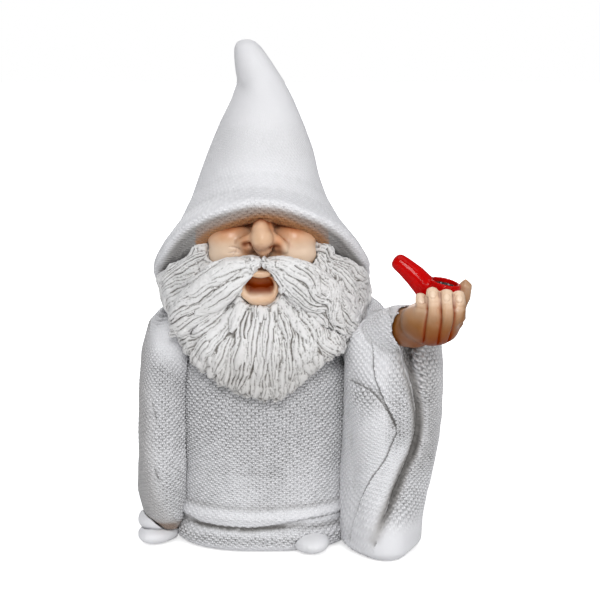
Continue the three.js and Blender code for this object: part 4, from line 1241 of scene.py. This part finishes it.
# Soft rolls beside the nose: places, and the radius at each
FACE_ROLLS = [
    (
        [(-4, -50.5, 178), (-8, -49.2, 176.6), (-11.6, -46.8, 174.8), (-12.8, -45.5, 171.6)],
        [2.6, 2.3, 1.9, 1.2],
    ),
    ([(4, -49.8, 178), (8.4, -48.2, 175.6), (11.8, -46.6, 172), (13, -46.2, 168.6)], [3.2, 2.9, 2.4, 1.6]),
]
NOSTRILS = [(-8.9, -51.5, 172.4), (7, -53, 171.6)]
FACE_LINES = [
    # points across and up, depth, half width
    ([(-5.6, 176), (-6.4, 173.6), (-5.2, 170.4), (-4.4, 167.5)], 0.3, 1.1),
    ([(6.6, 173.8), (5.6, 170.8), (4.6, 168)], 0.3, 1.1),
    ([(-9.6, 179.6), (-13, 178), (-15, 174.6), (-14.6, 171.4)], 0.1, 1.2),
    ([(9.4, 180.6), (13, 177), (15.2, 172.6), (15.6, 168)], 0.12, 1.3),
    ([(-12.4, 170.6), (-14.6, 171.4), (-17.4, 171.6)], 0.45, 0.5),
    ([(-12.8, 168.6), (-15, 169), (-18, 168.2)], 0.45, 0.5),
    ([(-13.8, 171), (-14.6, 168.4), (-16, 167)], 0.4, 0.45),
]
MOUTH_MIDDLE = (-1, 153)
# The brim's edge over the face, as places across and their heights
BROW = [(-34, 173), (-28, 177), (-20, 180), (-10, 183.5), (0, 186), (10, 183), (20, 180.5), (28, 177)]


def keep_face_paint(mesh, normals):
    """Stores where the face is dark and folded, which is painted shade, and where it is pale."""
    points = read(mesh)
    x, y, z = points.T
    wide = np.abs(x)
    # Painted shade in the mouth's roof and inner slope, in a band under the brim, in the nostrils and under
    # the nose
    around = np.hypot((x - MOUTH_MIDDLE[0]) / 8.2, (z - MOUTH_MIDDLE[1]) / 3.8)
    inside = step(y, -51, -49) * (1 - step(around, 0.85, 1.15))
    roof = inside * (0.4 + 0.6 * (1 - step(z, 150.5, 155.5)))
    brow = np.interp(x, *zip(*BROW))
    hatside = step(z, brow - 9, brow + 1.5) * step(-y, 25, 30)
    hatside *= (1 - 0.7 * step(-y, 50, 54)) * (1 - 0.65 * step(wide, 17, 26))
    nostril = sum(mound_at(points, place, (2.2, 4, 1.4)) for place in NOSTRILS)
    beneath = 0.4 * step(-normals[:, 2], 0.1, 0.7) * step(z, 163, 166) * (1 - step(wide, 9, 12))
    dish = 0.9 * step(z, 144.6, 149.2) * (1 - step(z, 150, 151)) * step(-y, 44, 47)
    dish *= 1 - step(np.abs(x + 1), 5, 8)
    shade = np.maximum(np.maximum(roof, dish), 0.8 * hatside * step(z, brow - 2.5, brow + 1))
    keep_field(mesh, "deep", np.clip(shade + 0.8 * nostril + beneath, 0, 1))
    # Warm painted shade in the folds beside the nose and under the brim, and the mouth's orange inside
    folds = listed(mesh.attributes["fold"].data, "value", kind=np.float32)
    beside_nose = 0.7 * mound(wide, 9, 3) * mound(z, 174, 7)
    folds = np.maximum.reduce([folds, 1.25 * inside, 0.85 * hatside, beside_nose])
    mesh.attributes["fold"].data.foreach_set("value", folds.astype(np.float32))
    # Painted highlight on the lower lip's top, and paler low on the cheeks
    pale = 0.6 * step(normals[:, 2], 0.1, 0.7) * mound(z, 144, 2.5) * step(-y, 47, 49)
    pale += 0.55 * (1 - step(z, 169, 176)) * step(z, 162, 164) * step(wide, 9, 14)
    keep_field(mesh, "pale", pale)
    keep_field(mesh, "tan_shade", np.zeros(len(points)))


def make_head():
    forms = [ball(*form) for form in FACE_FORMS]
    mesh = cast_skin(joined(node_copy("head"), *forms, rods(FACE_ROLLS)), SKIN_GRAIN, 4)
    x, y, z = read(mesh).T
    softened(mesh, step(z, 160, 164) * (np.abs(x) > 15), 40)
    softened(mesh, step(z, 160, 164) * (np.abs(x) <= 15), 8)
    dish = np.exp(-(((x + 1) / 8.5) ** 4 + ((z - 147) / 3.4) ** 4)) * step(-y, 44, 47)
    softened(mesh, dish, 60)
    points = read(mesh)
    normals = read(mesh, "normal")
    x, y, z = points.T
    front = step(-y, 34, 38) * step(-normals[:, 1], -0.1, 0.3)
    lift = 0.12 * swirl(points, 9, 91)
    for line, depth, half in FACE_LINES:
        across, along = beside(smooth_line(line), x, z)
        lift -= front * depth * mound(across, 0, half) * arch(along, 0.06) ** 0.5
    for place in NOSTRILS:
        lift -= 1.7 * mound_at(points, place, (2.6, 4, 1.5))
    raise_by(mesh, lift)
    keep_hollows(mesh, fine=10, broad=110, fine_depth=0.16)
    keep_face_paint(mesh, normals)
    return finish_piece("head_finish", mesh, "head", SKIN)


# Each finger's middle across and the height of its tip, the gaps between the fingers, and the palm's forms
FINGERS = [(83.4, 152.7), (89.3, 156.3), (96.4, 155), (103.2, 153.8)]
FINGER_GAPS = [
    [(86.1, 151), (86, 143), (85, 134), (84.6, 124)],
    [(92.9, 153), (93.3, 143), (93.2, 134), (92, 122)],
    [(100.2, 152), (100.9, 143), (100.4, 136), (98, 126)],
]
HAND_FORMS = [
    ((90, -75, 133.5), (14.5, 13.2, 10), 0),
    ((98, -77, 141), (8, 11.5, 11), 20),
    ((86.5, -76, 140), (5.5, 11.5, 9), 0),
    ((83.5, -71.5, 135.5), (10.5, 13, 10.5), 0),
]


def make_left_hand():
    forms = [ball(*form) for form in HAND_FORMS]
    mesh = cast_skin(joined(node_copy("left_hand"), *forms), HAND_GRAIN, 3)
    x, y, z = read(mesh).T
    softened(mesh, (1 - step(z, 136, 144)) * step(-y, 62, 70), 40)
    softened(mesh, (1 - step(x, 84, 89)) * step(-y, 50, 60) * (1 - step(z, 144, 150)), 150)
    points = read(mesh)
    normals = read(mesh, "normal")
    x, y, z = points.T
    front = step(-normals[:, 1], 0.05, 0.4) * step(-y, 66, 72)
    lift = 0.1 * swirl(points, 7, 97)
    # Paler nails, and painted highlights on the ridges below them and on the fingertips' tops
    pale = np.zeros(len(points))
    for middle, tip in FINGERS:
        nail = np.hypot((x - middle) / 1.8, (z - (tip - 3.6)) / 1.9)
        plate = 1 - step(nail, 0.7, 0.95)
        rim = mound(nail, 1.08, 0.16) * step(tip - 1.5 - z, 0, 1)
        aside = np.abs(x - middle)
        crease = mound(z - 0.12 * aside, tip - 7.6, 0.5) * (aside < 3)
        ridge = mound(z, tip - 9, 0.9) * (aside < 3)
        lift += front * (0.1 * plate - 0.16 * rim - 0.12 * crease)
        pale += front * (0.2 * plate + 0.1 * ridge)
    pale += 0.35 * front * step(z, 145, 150)
    gap = np.zeros(len(points))
    for line in FINGER_GAPS:
        across, _ = beside(smooth_line(line), x, z)
        gap = np.maximum(gap, front * mound(across, 0, 0.8) * step(z, 123, 128))
    raise_by(mesh, lift - 0.9 * gap)
    keep_hollows(mesh, fine=8, broad=80, fine_depth=0.16, broad_depth=1.1)
    # Painted shade between the fingers and under the hand, and a darker tan downwards
    underneath = (1 - step(z, 123, 140)) * (0.4 + 0.6 * step(x, 78, 92))
    keep_field(mesh, "deep", np.clip(0.6 * gap + 0.8 * underneath, 0, 1))
    keep_field(mesh, "pale", np.clip(pale, 0, 1))
    keep_field(mesh, "tan_shade", np.clip(1 - step(z, 133, 152) + 0.6 * step(x, 103, 107), 0, 1))
    return finish_piece("left_hand_finish", mesh, "left_hand", SKIN)


make_head()
make_left_hand()


# Pipe

def make_pipe():
    mesh = cast_skin(node_copy("pipe"), PIPE_GRAIN, 12)
    keep_hollows(mesh, fine=8, broad=30, fine_depth=0.2)
    return finish_piece("pipe_finish", mesh, "pipe", PIPE_RED)


def make_filling():
    mesh = cast_skin(node_copy("pipe_filling"), PIPE_GRAIN, 1)
    points = read(mesh)
    raise_by(mesh, 0.35 * swirl(points, 1.9, 95) + 0.2 * swirl(points, 1.0, 96))
    return finish_piece("pipe_filling_finish", mesh, "pipe_filling", TOBACCO)


make_pipe()
make_filling()


# Carried over as the construction has them, with their own finish
for node_name in ("neck_dowel", "right_arm_dowel", "left_arm_dowel", "wrist_pin", "pipe_pin"):
    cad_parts[node_name].data.materials.clear()
    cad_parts[node_name].data.materials.append(STEEL)


# Camera at the photograph's angle, its target in metres
TARGET = Vector((20.4, 0, 134.6)) * MM
CAMERA_DISTANCE = 1.1
CAMERA_ELEVATION = math.radians(10)
CAMERA_WAY = Vector((0, -math.cos(CAMERA_ELEVATION), math.sin(CAMERA_ELEVATION)))
CAMERA_TILT = math.radians(90) - CAMERA_ELEVATION
LENS = 117.1
SENSOR_WIDTH = 36

camera_data = bpy.data.cameras.new("camera")
camera_data.lens = LENS
camera_data.sensor_width = SENSOR_WIDTH
camera = add_object("camera", camera_data)
camera.location = TARGET + CAMERA_DISTANCE * CAMERA_WAY
camera.rotation_euler = (CAMERA_TILT, 0, 0)
SCENE.camera = camera


# Studio

# The light from all round, and half the floor's width in metres
AMBIENT = 0.33
FLOOR_REACH = 4


def soft_lamp(name, place, power, size):
    data = bpy.data.lights.new(name, "AREA")
    data.shape = "SQUARE"
    data.size = size
    data.energy = power
    lamp = add_object(name, data)
    lamp.location = place
    lamp.rotation_euler = (TARGET - Vector(place)).to_track_quat("-Z", "Y").to_euler()


# Each lamp's place in metres, its power in watts and its size
LAMPS = {
    "key": ((0.0, -1.55, 0.95), 12.5, 0.5),
    "top": ((0.1, -0.5, 1.9), 10.5, 1.6),
    "fill": ((1.1, -1.2, 0.5), 4.5, 1.0),
    "back": ((-0.3, 1.6, 0.9), 9, 1.2),
}
for lamp_name, lamp_setting in LAMPS.items():
    soft_lamp(lamp_name, *lamp_setting)


def light_all_round():
    """A soft light from everywhere, which the camera sees as plain white."""
    world = bpy.data.worlds.new("studio")
    SCENE.world = world
    world.use_nodes = True
    sky = world.node_tree
    sky.nodes.clear()
    ambient, backdrop = [
        add_node(sky, "ShaderNodeBackground", values={"Color": colour, "Strength": strength}).outputs[0]
        for colour, strength in (((0.96, 0.97, 1.0, 1), AMBIENT), ((1, 1, 1, 1), 1.0))
    ]
    seen = add_node(sky, "ShaderNodeLightPath").outputs["Is Camera Ray"]
    shown = add_node(sky, "ShaderNodeMixShader", {0: seen, 1: ambient, 2: backdrop}).outputs[0]
    add_node(sky, "ShaderNodeOutputWorld", {0: shown})


def floor_paint():
    """A pale floor, which the camera sees fade to white away from the figure."""
    paint = Paint("floor", 0.9, 0.0)
    for socket, colour in (("Base Color", (0.9, 0.9, 0.9, 1)), ("Emission Color", (1, 1, 1, 1))):
        paint.shader.inputs[socket].default_value = colour
    place = paint.add("ShaderNodeTexCoord").outputs["Object"]
    away = paint.add("ShaderNodeVectorMath", {0: place}, operation="LENGTH").outputs["Value"]
    fade = {"From Min": 0.15, "From Max": 1.0, "To Min": 0.62, "To Max": 1.1}
    glow = paint.add("ShaderNodeMapRange", {"Value": away}, fade).outputs[0]
    seen = paint.add("ShaderNodeLightPath").outputs["Is Camera Ray"]
    paint.link(paint.times(seen, glow), "Emission Strength")
    return paint.material


def make_floor():
    shape = bmesh.new()
    bmesh.ops.create_grid(shape, x_segments=1, y_segments=1, size=FLOOR_REACH)
    mesh = mesh_from(shape, "floor")
    mesh.materials.append(floor_paint())
    floor = add_object("floor", mesh)


light_all_round()
make_floor()

SCENE.view_settings.view_transform = "Standard"
